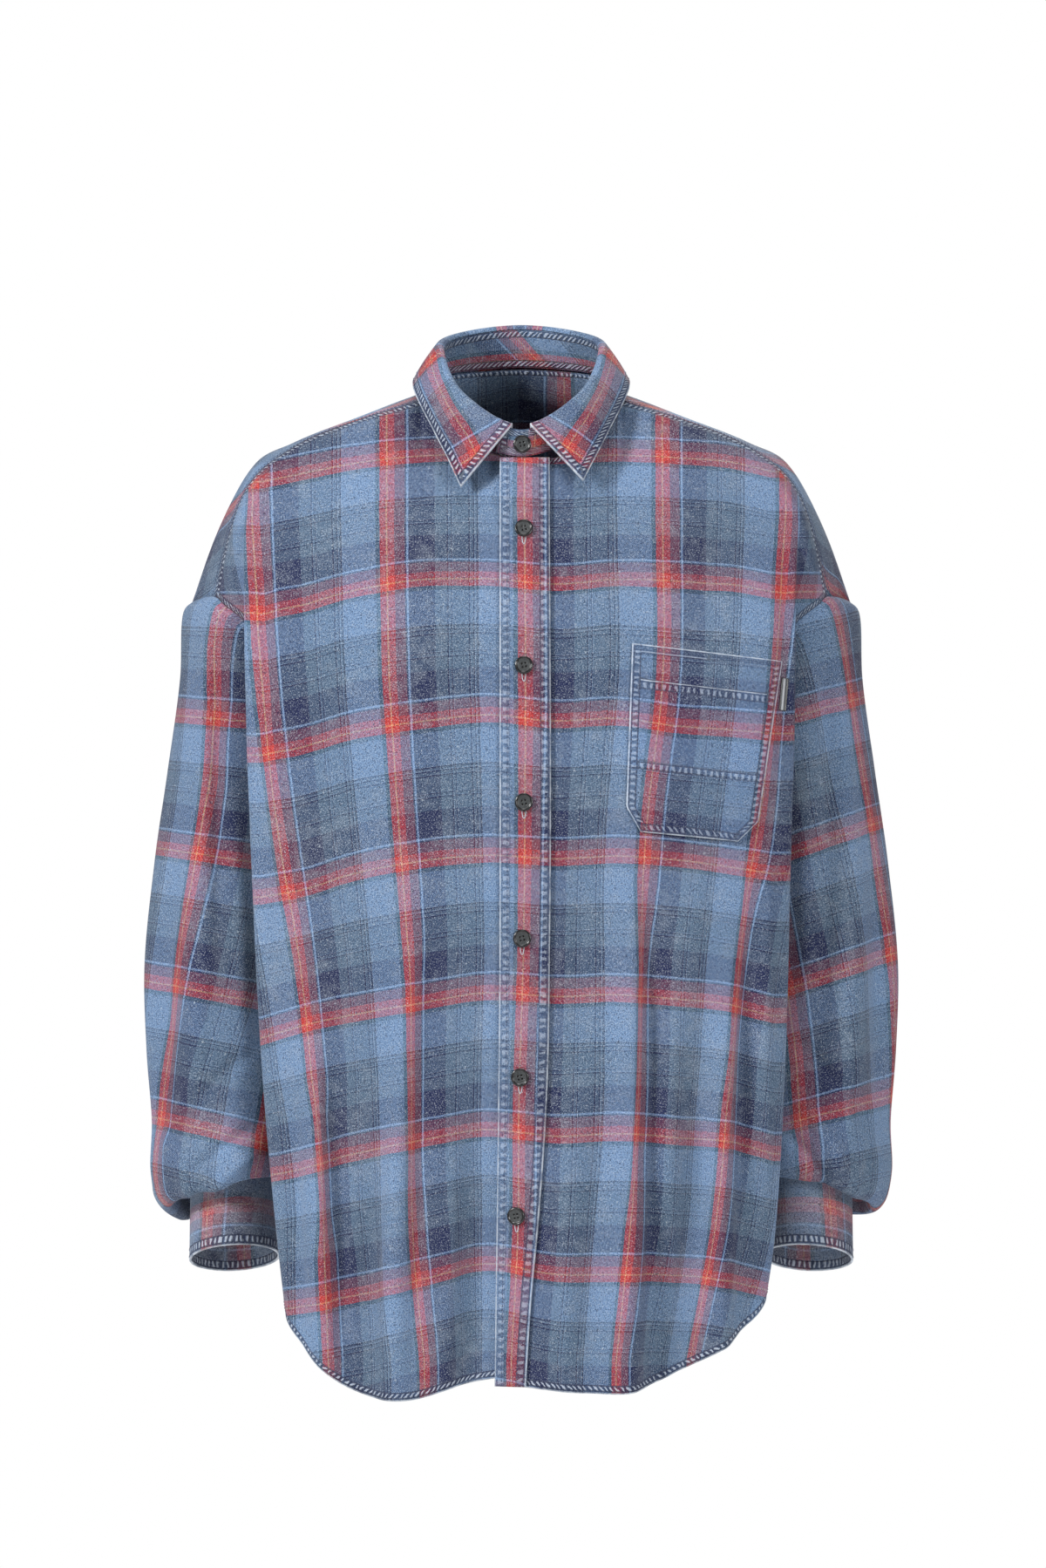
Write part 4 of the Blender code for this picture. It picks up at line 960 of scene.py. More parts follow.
# ================================================================ mesh making
class Held(Enum):
    """How a piece of cloth is held."""

    DRAPED = "draped"
    HUNG = "hung"
    FOLDED = "folded"


def add_object(name: str, points: Array, faces: Sequence, materials: Sequence[bpy.types.Material],
               node: str = "", finishes: Optional[Array] = None) -> bpy.types.Object:
    """Makes an object, shaded smooth, on the shirt's one body.

    Args:
        name: its name.
        points: its vertices.
        faces: its faces' corner numbers.
        materials: its finishes.
        node: the solid that it stands for, where it stands for one.
        finishes: the number of each face's finish, where there are several.
    Returns:
        The object.
    """
    mesh = bpy.data.meshes.new(name)
    mesh.from_pydata(points.reshape(-1, 3).tolist(), [], faces)
    mesh.shade_smooth()
    for material in materials:
        mesh.materials.append(material)
    if finishes is not None:
        mesh.polygons.foreach_set("material_index", finishes.astype(np.int32))
    piece = linked(name, mesh)
    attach(piece, BODY)
    if node:
        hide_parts(node)
    return piece


def ring_corners(number: Array) -> Array:
    """The corner numbers of the quads between rings that close on themselves."""
    ahead = np.roll(number, -1, axis=1)
    return np.stack([number[:-1], ahead[:-1], ahead[1:], number[1:]], axis=-1).reshape(-1, 4)


def grid_corners(rows: int, count: int, flip: bool) -> Array:
    """The corner numbers of a grid's quads.

    Args:
        rows: how many rows of points it has.
        count: how many points a row has.
        flip: whether the quads are turned the other way.
    Returns:
        Four numbers for each quad.
    """
    number = np.arange(rows * count).reshape(rows, count)
    corners = np.stack([number[:-1, :-1], number[:-1, 1:], number[1:, 1:], number[1:, :-1]],
                       axis=-1).reshape(-1, 4)
    return corners[:, ::-1] if flip else corners


def add_cloth(name: str, cloth: Cloth, material: bpy.types.Material, node: str) -> None:
    """Makes a sheet of cloth: its grid as quads with two UV maps, thickened to both sides.

    Args:
        name: the piece's name.
        cloth: its surface.
        material: its finish.
        node: the solid that it stands for.
    """
    rows, count = cloth.net.shape[:2]
    corners = grid_corners(rows, count, flip=cloth.inside_out)
    vertices, faces = cloth.net, corners
    if cloth.closed:
        vertices = cloth.net[:, :-1]
        faces = (corners // count) * (count - 1) + (corners % count) % (count - 1)
    piece = add_object(name, vertices, faces.tolist(), [material], node)
    for layer, values in ((UV_NAME, cloth.cut), (TRIM_NAME, cloth.trim)):
        data = piece.data.uv_layers.new(name=layer)
        data.data.foreach_set("uv", values.reshape(-1, 2)[corners.reshape(-1)].ravel())
    solid = piece.modifiers.new("wall", "SOLIDIFY")
    solid.thickness = cloth.wall
    solid.offset = 0.0
    width, length, area = cloth.flat_size()
    log.info("%s: %d quads, cut %.2f x %.2f m", name, len(faces), width, length)


# ================================================================ folds and checks in place
@dataclass(frozen=True)
class SleeveLook:
    """Where a sleeve's check and creases show in the photograph.

    Attributes:
        stripe: photo y, and the red stripe's angle round the sleeve there, in degrees.
        row_slopes: photo y, and how the rows slope there.
        row_start: photo y of a row where it crosses the column row_from.
        row_step: from one row to the next.
        row_from: the photo x about which the rows slope and behind which the creases repeat.
        cuff_stripe: the red stripe's angle round the cuff.
        creases: the sleeve's creases.
    """

    stripe: Table
    row_slopes: Table
    row_start: float
    row_step: float
    row_from: float
    cuff_stripe: float
    creases: Tuple[Crease, ...]


SLEEVE_LOOKS = {
    Side.RIGHT: SleeveLook(
        stripe=(
            (620, -58), (750, -61), (820, -68), (1000, -66), (1130, -52), (1260, -29),
            (1400, -20)),
        row_slopes=(
            (640, 0.02), (820, 0.08), (975, 0.15), (1135, 0.19), (1290, 0.24), (1400, 0.26)),
        row_start=819.0, row_step=157.0, row_from=230.0, cuff_stripe=-64.0,
        creases=crease_rows(
            (236, 720, 232, 1010, 3.2, 9, -4), (250, 730, 252, 1120, -3.4, 9, 3),
            (206, 900, 196, 1250, -2.6, 11, 2), (266, 900, 276, 1240, 3, 10, -4),
            (232, 1080, 226, 1330, 3, 11, 3), (292, 1205, 206, 1290, -3, 9, 6),
            (300, 1290, 214, 1352, -3.4, 8, 5), (296, 1322, 226, 1384, 4.6, 9, 4),
            (186, 1300, 222, 1390, 3, 9, -3), (200, 1290, 206, 1372, -2.2, 6))),
    Side.LEFT: SleeveLook(
        stripe=(
            (620, -44), (800, -38), (1000, -26), (1250, -5), (1400, 0)),
        row_slopes=(
            (640, -0.24), (814, -0.28), (972, -0.36), (1128, -0.33), (1277, -0.26), (1400, -0.2)),
        row_start=814.0, row_step=155.0, row_from=925.0, cuff_stripe=-62.0,
        creases=crease_rows(
            (962, 720, 984, 1040, 3.2, 9, 4), (944, 740, 950, 1130, -3.4, 10, -3),
            (1000, 930, 1006, 1240, -3, 10, -3), (925, 900, 930, 1180, 3, 10, 3),
            (972, 1120, 972, 1320, 3.6, 11, -3), (905, 1190, 1000, 1300, -3.2, 9, -8),
            (925, 1270, 980, 1372, 4.6, 10, -5), (902, 1300, 948, 1362, -4.4, 9, -4),
            (1012, 1250, 982, 1380, 3, 8, 4), (996, 1290, 990, 1360, -3, 6))),
}
BACK_CREASES = crease_rows(
    # millimetres across and up, seen from the front
    (-176, -240, -150, -540, 3.6, 11, 4), (-160, -330, -140, -740, -3.4, 12, -4),
    (-112, -150, -128, -420, 2.4, 12, 3), (-86, -420, -96, -780, 3.8, 13, 4, 0.3),
    (-52, -200, -40, -560, -2.6, 16, 5), (-30, -520, -34, -790, 2.8, 12, -3),
    (12, -130, 6, -360, 1.8, 14, -3), (26, -460, 18, -780, -3, 14, 4),
    (66, -260, 74, -640, 3, 13, -4), (98, -140, 120, -380, -2.2, 13, 4),
    (104, -480, 92, -790, -3.4, 12, -4), (138, -300, 142, -700, 3.8, 12, 4, -0.3),
    (172, -230, 164, -520, -3, 10, -3), (180, -420, 166, -710, 2.8, 10, 3),
    per_unit=1000.0)
FRONT_CREASES = crease_rows(
    # the wearer's right front
    (366, 1180, 374, 1560, 4.6, 11, 3, 0.3), (388, 1220, 396, 1600, -4.2, 12, 3),
    (336, 1240, 346, 1540, -3, 9), (474, 1060, 446, 1620, 4.4, 13, 5, -0.3),
    (494, 1120, 476, 1600, -3.8, 13, 5), (428, 1180, 418, 1620, -3, 14),
    (548, 1250, 540, 1620, -3.6, 15, -2), (520, 1330, 510, 1620, 2.6, 11),
    (312, 760, 330, 1180, 2.6, 12, -3), (300, 600, 312, 840, -2.8, 10),
    (352, 640, 392, 980, -1.8, 20, 6), (430, 560, 500, 760, 1.4, 22, -8),
    (400, 980, 430, 1230, 1.8, 18, -5), (540, 640, 520, 900, -1.6, 20, 4),
    # the wearer's left front
    (724, 1000, 722, 1600, 5.6, 12, -3, 0.35), (748, 1060, 748, 1600, -6, 12, -3),
    (772, 1180, 766, 1600, 3.2, 13), (690, 1260, 676, 1620, -3.4, 17, 3),
    (648, 1330, 646, 1600, 2.4, 12), (838, 1120, 828, 1580, 4.8, 12, 4, 0.3),
    (858, 1080, 852, 1560, -5, 11, 3), (804, 1260, 800, 1590, -2.6, 12),
    (882, 960, 876, 1420, 3, 10), (902, 620, 900, 900, -2.4, 9),
    (830, 600, 800, 760, -1.4, 20, 6), (700, 590, 680, 860, 1.4, 22, -5),
    (800, 990, 780, 1240, 2.2, 18, 4), (670, 1000, 660, 1260, -1.6, 16),
)


# ================================================================ sub-assemblies
@dataclass
class Sewn:
    """Pieces sewn of one twill.

    Attributes:
        cloths: the pieces by name.
    """

    twill: bpy.types.Material
    cloths: Dict[str, Cloth] = field(default_factory=dict, kw_only=True)

    def lay(self, name: str, cloth: Cloth, wall: float, held: Held, node: str = "",
            rests_on: Sequence[str] = (), finish: Optional[bpy.types.Material] = None) -> None:
        """Keeps a piece and makes its sheet of cloth.

        Args:
            name: the piece's name.
            cloth: its surface.
            wall: its thickness.
            held: how it is held; not used.
            node: the solid that it stands for, where that has another name.
            rests_on: what it lies on; not used.
            finish: its finish, where it isn't the twill.
        """
        cloth.wall = wall
        self.cloths[name] = cloth
        add_cloth(name + "_cloth", cloth, finish or self.twill, node or name)


@dataclass
class Body(Sewn):
    """The two fronts, the yoke and the back.

    Attributes:
        closer: how much closer together the columns stand over the ridge.
        closer_across: where across a half panel that starts and is full.
        own_across: where a front's check stops following the stripes and goes by its cloth.
        middle_stripe: where in the check's repeat the middles of the yoke and back are.
        yoke_row: the check's row at the yoke's back seam.
        back_row: the check's row at the back's upper seam.
        crease_gain: how much stronger than in their table the fronts' creases are.
    """

    wall: float = 0.0012
    front_columns: int = 118
    front_rows: int = 236
    back_columns: int = 76
    back_rows: int = 190
    yoke_columns: int = 84
    yoke_rows: int = 46
    closer: float = 0.022
    closer_across: Pair = (0.3, 0.6)
    own_across: Pair = (0.72, 0.8)
    front_fade: Pair = (0.78, 0.86)
    back_fade: Pair = (0.74, 0.84)
    middle_stripe: float = 0.3
    yoke_row: float = 1.54
    back_row: float = 0.6
    crease_gain: float = 1.3

    def across(self, count: int) -> Array:
        """Places across a half panel, closer together over the ridge."""
        place = even(count)
        bunch = np.sin(FULL_TURN * (place - 0.5)) * ramp(place, *self.closer_across)
        return place + self.closer * bunch

    def front(self, side: Side) -> Cloth:
        """A front, from under the placket to the armhole and side seam, creased.

        Args:
            side: which front.
        Returns:
            Its surface.
        """
        across = self.across(self.front_columns)
        net = CUT.front_half(side, across, even(self.front_rows))
        start = side.value * (CUT.placket_edges(net[:, 0, 2])[:, 1] - CUT.seam_turn)
        if side is Side.RIGHT:
            start = start + CUT.underlap_gap
        net[..., 0] += start[:, None] * (1.0 - ramp(across, 0.0, CUT.neck_across))[None, :]
        net = CUT.fold(net * (FLIP if side is Side.RIGHT else 1.0), CUT.front_folds, -1.0)
        cut = CHECK.follow(net, ramp(across, *self.own_across), side.value)
        cloth = Cloth(net, cut, trim_map(net, ("bottom",), ("top", "right")),
                      inside_out=side is Side.LEFT)
        lift = creased(FRONT_CREASES, *CAMERA.to_photo(net)) * self.crease_gain
        cloth.push(lift * (1.0 - ramp(across, *self.front_fade)))
        return cloth

    def counted(self, net: Array, row: Array) -> Array:
        """The cut of a panel whose check is counted from its middle column.

        Args:
            net: its positions.
            row: how many repeats down each point lies.
        Returns:
            Metres along the weft and up the warp, for each point.
        """
        middle = net.shape[1] // 2
        walk = arc_across(net)
        stripe = (walk - walk[:, middle:middle + 1]) / CHECK.repeat
        return CHECK.in_metres(self.middle_stripe - stripe, row)

    def yoke(self) -> Cloth:
        """The yoke, over both shoulders."""
        net = mirrored(CUT.yoke_half(even(self.yoke_columns), even(self.yoke_rows)))
        down = arc_down(net)
        cut = self.counted(net, self.yoke_row - (down[-1:] - down) / CHECK.repeat)
        return Cloth(net, cut, trim_map(net, (), ("top", "bottom")))

    def back(self) -> Cloth:
        """The back, below its yoke seam, creased."""
        half = CUT.back_half(self.across(self.back_columns), even(self.back_rows))
        net = CUT.fold(mirrored(half), CUT.back_folds, 1.0)
        cut = self.counted(net, arc_down(net) / CHECK.repeat + self.back_row)
        cloth = Cloth(net, cut, trim_map(net, ("bottom",), ("top", "left", "right")))
        inner = 1.0 - ramp(np.abs(np.linspace(-1.0, 1.0, net.shape[1])), *self.back_fade)
        cloth.push(creased(BACK_CREASES, net[..., 0], net[..., 2]) * inner)
        return cloth

    def build(self) -> None:
        """Makes the four panels."""
        for side in Side:
            self.lay("front_" + side.word, self.front(side), self.wall, Held.HUNG)
        self.lay("yoke", self.yoke(), self.wall, Held.DRAPED)
        self.lay("back", self.back(), self.wall, Held.HUNG)


@dataclass
class Sleeve(Sewn):
    """One sleeve with its cuff.

    Attributes:
        look: where its check and creases show.
        cuff_flare: how much wider the cuff's mouth is than its top, each way.
        cuff_red: how far down the cuff its red row is.
        repeat_angle: the degrees round the sleeve that a repeat takes.
        bag_from: the share of the rows after which the check goes by the cloth's length.
        facing_fade: the sine of the angle over which creases of one face give way to the other's.
        behind_drop: how much lower the creases lie on the hidden face, in photo pixels.
    """

    side: Side
    look: SleeveLook
    band: bpy.types.Material
    wall: float = 0.0012
    cuff_wall: float = 0.0017
    columns: int = 150
    rows: int = 150
    cuff_rows: int = 26
    cuff_height: float = 0.07
    cuff_flare: float = 0.001
    cuff_red: float = 0.04
    repeat_angle: float = 95.0
    bag_from: float = 0.84
    facing_fade: Pair = (-0.1, 0.4)
    behind_drop: float = 34.0

    def angles(self) -> Array:
        """Angles round the sleeve, from half a turn behind to minus half a turn in front."""
        return np.linspace(np.pi, -np.pi, self.columns + 1)

    def on_side(self, net: Array) -> Array:
        """A left sleeve's net, moved to this side."""
        return net * FLIP if self.side is Side.RIGHT else net

    def tube(self, net: Array, stripe: Array, row: Array, trim: Array) -> Cloth:
        """A piece that goes all round, its check given in repeats."""
        return Cloth(net, CHECK.in_metres(stripe, row), trim, closed=True,
                     inside_out=self.side is Side.RIGHT)

    def sleeve(self) -> Cloth:
        """The sleeve, from its armhole to the gathers above its cuff, creased."""
        angle, look = self.angles(), self.look
        net = self.on_side(CUT.sleeve_net(angle, even(self.rows)))
        x, y = CAMERA.to_photo(net)
        red, slope = (read(table, 1, 1, y)[..., 0] for table in (look.stripe, look.row_slopes))
        stripe = self.side.value * (np.degrees(angle) - red) / self.repeat_angle
        row = (y - slope * (x - look.row_from) - look.row_start) / look.row_step
        low = int(self.bag_from * self.rows)
        walk = arc_down(net) / CHECK.repeat
        row[low:] = row[low] + walk[low:] - walk[low]
        cloth = self.tube(net, stripe, row, trim_map(net, ()))
        behind = creased(look.creases, 2.0 * look.row_from - x, y - self.behind_drop)
        cloth.push(creased(look.creases, x, y) * ramp(-np.sin(angle), *self.facing_fade)
                   + behind * ramp(np.sin(angle), *self.facing_fade))
        return cloth

    def cuff(self) -> Cloth:
        """The cuff, hanging from the sleeve's last oval."""
        angle = self.angles()
        top = np.array(CUT.sleeve[-1][1:])
        step = np.array([0.0, 0.0, -self.cuff_height, self.cuff_flare, self.cuff_flare, 0.0, 0.0])
        net = self.on_side(np.array([CUT.sleeve_ring(top + step * share, angle)
                                     for share in even(self.cuff_rows)]))
        walk = arc_across(net)
        red = np.interp(-np.radians(self.look.cuff_stripe), -angle, walk[0])
        stripe = -self.side.value * (walk - red) / CHECK.repeat
        row = -(arc_down(net) - self.cuff_red) / CHECK.repeat
        return self.tube(net, stripe, row, trim_map(net, ("bottom",), ("top",)))

    def build(self) -> None:
        """Makes the sleeve and its cuff."""
        word = self.side.word
        self.lay("sleeve_" + word, self.sleeve(), self.wall, Held.HUNG)
        self.lay("cuff_" + word, self.cuff(), self.cuff_wall, Held.HUNG, finish=self.band)


@dataclass
class Collar(Sewn):
    """The stand and the leaf that turns down over it.

    Attributes:
        roll_turn: how far round it goes, as an angle.
        leaf_lift: how far above the stand the leaf starts.
        leaf_first_turn: the place round the neck where the leaf starts.
        leaf_belly: how far the leaf's fall bows out.
        lap: how far round the neck the stand's left end laps over its right one.
        underlap: the right end's lap, as a share of that.
        seam_lift: how far the stand's foot stands above the neck seam.
        seam_share: the share of the stand's height over which that fades.
        shift_from, shift_full: the x between which the left end moves out over the right one.
        lap_gap: the gap between the two ends, besides one wall.
        stripe_lean: how much the leaf's stripes lean.
        tip_stripe, edge_place, lap_stripe, foot_stripe: the check's places, in metres.
        tip_drop: how much lower the leaf's right tip hangs, fading over tip_reach.
    """

    band_wall: float = 0.0017
    leaf_wall: float = 0.0018
    roll_radius: float = 0.003
    roll_turn: float = 2.5
    leaf_lift: float = 0.0003
    leaf_first_turn: float = 0.04
    leaf_belly: float = 0.0015
    columns: int = 84
    stand_rows: int = 16
    roll_rows: int = 12
    leaf_rows: int = 34
    lap: float = 0.09
    underlap: float = 0.8
    lap_columns: int = 10
    seam_lift: float = 0.002
    seam_share: float = 0.33
    shift_from: float = 0.036
    shift_full: float = 0.02
    lap_gap: float = 0.0009
    stripe_lean: float = 0.12
    tip_stripe: float = 0.0106
    edge_place: float = 0.0309
    lap_stripe: float = 0.024
    foot_stripe: float = 0.0119
    tip_drop: Point = (0.0012, -0.0004, -0.0048)
    tip_reach: float = 0.14

    def stand(self) -> Cloth:
        """The stand: a strip round the neck whose left end laps over its right end."""
        turns = even(self.columns)
        lap = np.linspace(0.0, self.lap, self.lap_columns + 1)[1:]
        shares = even(self.stand_rows)[:, None, None]

        def ring(turn: Array) -> Array:
            """The strip's rows at these turns."""
            low, high = (CUT.neck_curve(turn, line) for line in (NeckLine.BASE, NeckLine.TOP))
            return low + (high - low) * shares

        net = np.concatenate([ring(lap * self.underlap)[:, ::-1], ring(turns) * FLIP,
                              ring(turns)[:, :-1][:, ::-1], ring(lap) * FLIP], axis=1)
        net[..., 2] += self.seam_lift * (1.0 - ramp(shares[..., 0], 0.0, self.seam_share))
        over = np.arange(net.shape[1]) > net.shape[1] // 2
        over = over & (net[..., 1] < net[..., 1].mean())
        shift = ramp(-net[..., 0], -self.shift_from, -self.shift_full) * over
        net[..., 1] -= (self.band_wall + self.lap_gap) * shift
        walk = arc_across(net)
        cut = np.stack([walk[:, -1:] - walk - self.lap_stripe, self.foot_stripe - arc_down(net)],
                       axis=-1)
        return Cloth(net, cut, trim_map(net, ("left", "right"), ("top", "bottom")),
                     inside_out=True)

    def leaf_net(self) -> Array:
        """The leaf: up from the stand's top edge, over its roll and down to its outer edge."""
        turns = even(self.columns)
        first = self.leaf_first_turn
        start = CUT.neck_curve(first + (1.0 - first) * turns, NeckLine.TOP)
        start[:, 2] += self.leaf_lift
        away = unit(np.cross(np.gradient(CUT.neck_curve(turns, NeckLine.TOP), axis=0), UP))
        angle = np.linspace(0.0, self.roll_turn, self.roll_rows)[:, None, None]
        roll = start + away * self.roll_radius * (1.0 - np.cos(angle))
        roll = roll + UP * self.roll_radius * np.sin(angle)
        share = even(self.leaf_rows)[1:, None, None]
        fall = roll[-1] + (CUT.neck_curve(turns, NeckLine.LEAF) - roll[-1]) * share
        fall = fall + away * 4.0 * share * (1.0 - share) * self.leaf_belly
        half = np.concatenate([roll, fall])
        weight = np.append(np.zeros(self.roll_rows), share)[:, None, None]
        fade = 1.0 - ramp(turns, 0.0, self.tip_reach)
        lower = half * FLIP + np.array(self.tip_drop) * weight * fade[None, :, None]
        return np.concatenate([lower, half[:, :-1][:, ::-1]], axis=1)

    def leaf(self) -> Cloth:
        """The leaf with its check, whose stripes are counted from each tip."""
        net = self.leaf_net()
        down = arc_down(net)
        from_edge = down[-1:] - down
        walk = arc_across(net)[-1]
        tip = np.minimum(walk, walk[-1] - walk)
        inward = np.where(walk < 0.5 * walk[-1], 1.0, -1.0)[:, None]
        way = unit(np.gradient(net[-1], axis=0)) * inward
        foot = tip + ((net - net[-1:]) * way[None]).sum(axis=-1)
        weft = foot - self.stripe_lean * from_edge - self.tip_stripe
        cut = np.stack([weft, self.edge_place - from_edge], axis=-1)
        return Cloth(net, cut, trim_map(net, ("bottom", "left", "right")))

    def build(self) -> None:
        """Makes both pieces."""
        self.lay("stand", self.stand(), self.band_wall, Held.FOLDED, "collar_stand")
        self.lay("leaf", self.leaf(), self.leaf_wall, Held.FOLDED, "collar")


@dataclass
class Placket(Sewn):
    """The band down the left front that carries the buttonholes.

    Attributes:
        line_across: how far across a front its first columns are, which give the centre line.
    """

    wall: float = 0.0017
    gap: float = 0.001
    panel_wall: float = 0.0014
    line_across: float = 0.01
    columns: int = 25
    rows: int = 300

    def band(self) -> Cloth:
        """A front's centre line spread between the band's two edges and moved out onto it."""
        line = CUT.front_half(Side.LEFT, np.linspace(0.0, self.line_across, 3),
                              even(self.rows))[:, :1]
        edges = CUT.placket_edges(line[:, 0, 2])
        net = np.repeat(line, self.columns, axis=1)
        net[..., 0] = edges[:, :1] + (edges[:, 1:] - edges[:, :1]) * even(self.columns)
        net = CUT.fold(net, CUT.front_folds, -1.0)
        net = net - net_normals(net) * (0.5 * self.panel_wall + self.gap + 0.5 * self.wall)
        cut = CHECK.follow(net, np.zeros(self.columns), 1)
        return Cloth(net, cut, trim_map(net, ("left", "right")), inside_out=True)

    def build(self) -> None:
        """Makes the band."""
        self.lay("placket", self.band(), self.wall, Held.HUNG, rests_on=["front_left_cloth"])


@dataclass
class Pocket(Sewn):
    """The patch pocket on the left breast.

    Attributes:
        lift: how far out from the front it lies.
        corners: share of its height, x and z at its inner edge, x and z at its outer edge.
        cross_seams: how far down its two bands of stitches across are.
        seam_reach: how far to both sides such a band goes.
        seam_clear: how far from the pocket's edges it starts.
        seam_middle: the distance from an edge at which a band's middle is worked.
        top_worn: the distance from an edge at which its top edge is worked.
    """

    front: Cloth
    wall: float = 0.0012
    lift: float = 0.0021
    corners: Table = (
        (0.0, 0.0871, -0.2032, 0.2044, -0.2169),
        (0.875, 0.0823, -0.3314, 0.1859, -0.3431),
        (1.0, 0.0933, -0.3513, 0.1701, -0.3589),
    )
    cross_seams: Pair = (0.0325, 0.0958)
    seam_reach: float = 0.0046
    seam_clear: float = 0.0075
    seam_middle: float = 0.0048
    top_worn: float = 0.0002
    columns: int = 60
    rows: int = 70

    def patch(self) -> Cloth:
        """The pocket: between its corners, cast back onto the front and moved out from it."""
        height = even(self.rows)
        knots, *places = columns(self.corners, 0, 4).T
        edges = np.stack([np.interp(height, knots, values) for values in places], axis=1)
        inner, outer = edges[:, None, :2], edges[:, None, 2:]
        flat = inner + (outer - inner) * even(self.columns)[None, :, None]
        net = cast_on(self.front.net, flat)
        net = net - net_normals(net) * self.lift
        x, y = CAMERA.to_photo(net)
        trim = trim_map(net, ("bottom", "left", "right"))
        down, across = arc_down(net), arc_across(net)
        for seam in self.cross_seams:
            near = (np.abs(down - seam) < self.seam_reach) & (trim[..., 1] > self.seam_clear)
            trim[near] = np.stack([across, down - seam + self.seam_middle], axis=-1)[near]
        trim[..., 1] = np.minimum(trim[..., 1], down + self.top_worn)
        cut = CHECK.in_metres(CHECK.stripe_at(x, y), CHECK.row_at(x, y))
        return Cloth(net, cut, trim, inside_out=True)

    def build(self) -> None:
        """Makes the pocket."""
        self.lay("pocket", self.patch(), self.wall, Held.HUNG, rests_on=["front_left_cloth"])


def cross_flat(first: Array, second: Array) -> Array:
    """The cross product of flat vectors: x1 * z2 - z1 * x2."""
    return first[..., 0] * second[..., 1] - first[..., 1] * second[..., 0]


def cast_on(net: Array, flat: Array) -> Array:
    """Points of a front-facing net seen straight from the front at these places.

    Each quad is two triangles. In one with the sides p and q from its first corner, a place at
    d from that corner weighs the second corner by (d x q) / (p x q) and the third by
    (p x d) / (p x q), and the foremost triangle that holds the place gives its depth.

    Args:
        net: the net.
        flat: x and z of each place.
    Returns:
        A point for each place.
    """
    least, slack, batch = 1e-12, 1e-7, 64
    corners = np.concatenate([
        np.stack([net[:-1, :-1], other, net[1:, 1:]], axis=2).reshape(-1, 3, 3)
        for other in (net[:-1, 1:], net[1:, :-1])])
    places = flat.reshape(-1, 2)
    seen = corners[..., ::2]
    near = (seen.max(axis=1) >= places.min(axis=0)) & (seen.min(axis=1) <= places.max(axis=0))
    corners, seen = corners[near.all(axis=1)], seen[near.all(axis=1)]
    p, q = seen[:, 1] - seen[:, 0], seen[:, 2] - seen[:, 0]
    whole = cross_flat(p, q)
    whole = np.where(np.abs(whole) < least, least, whole)
    rise = corners[:, 1:, 1] - corners[:, :1, 1]
    depths = []
    for part in np.array_split(places, 1 + len(places) // batch):
        d = part[:, None] - seen[None, :, 0]
        second, third = cross_flat(d, q) / whole, cross_flat(p, d) / whole
        inside = (np.minimum(second, third) > -slack) & (second + third < 1.0 + slack)
        depth = corners[:, 0, 1] + second * rise[:, 0] + third * rise[:, 1]
        depths.append(np.where(inside, depth, np.inf).min(axis=1))
    points = np.insert(places, 1, np.concatenate(depths), axis=1)
    return points.reshape(flat.shape[:-1] + (3,))


def cast_frame(cloth: Cloth, place: Pair) -> Tuple[Array, Array]:
    """A cloth's point and outward normal at a place seen straight from the front.

    Args:
        cloth: the cloth.
        place: x and z.
    Returns:
        The point and the normal.
    """
    step = 0.002
    x, z = place
    around = np.array([(x, z), (x + step, z), (x - step, z), (x, z + step), (x, z - step)])
    points = cast_on(cloth.net, around)
    normal = unit(np.cross(points[1] - points[2], points[3] - points[4]))
    return points[0], normal if normal[1] < 0.0 else -normal


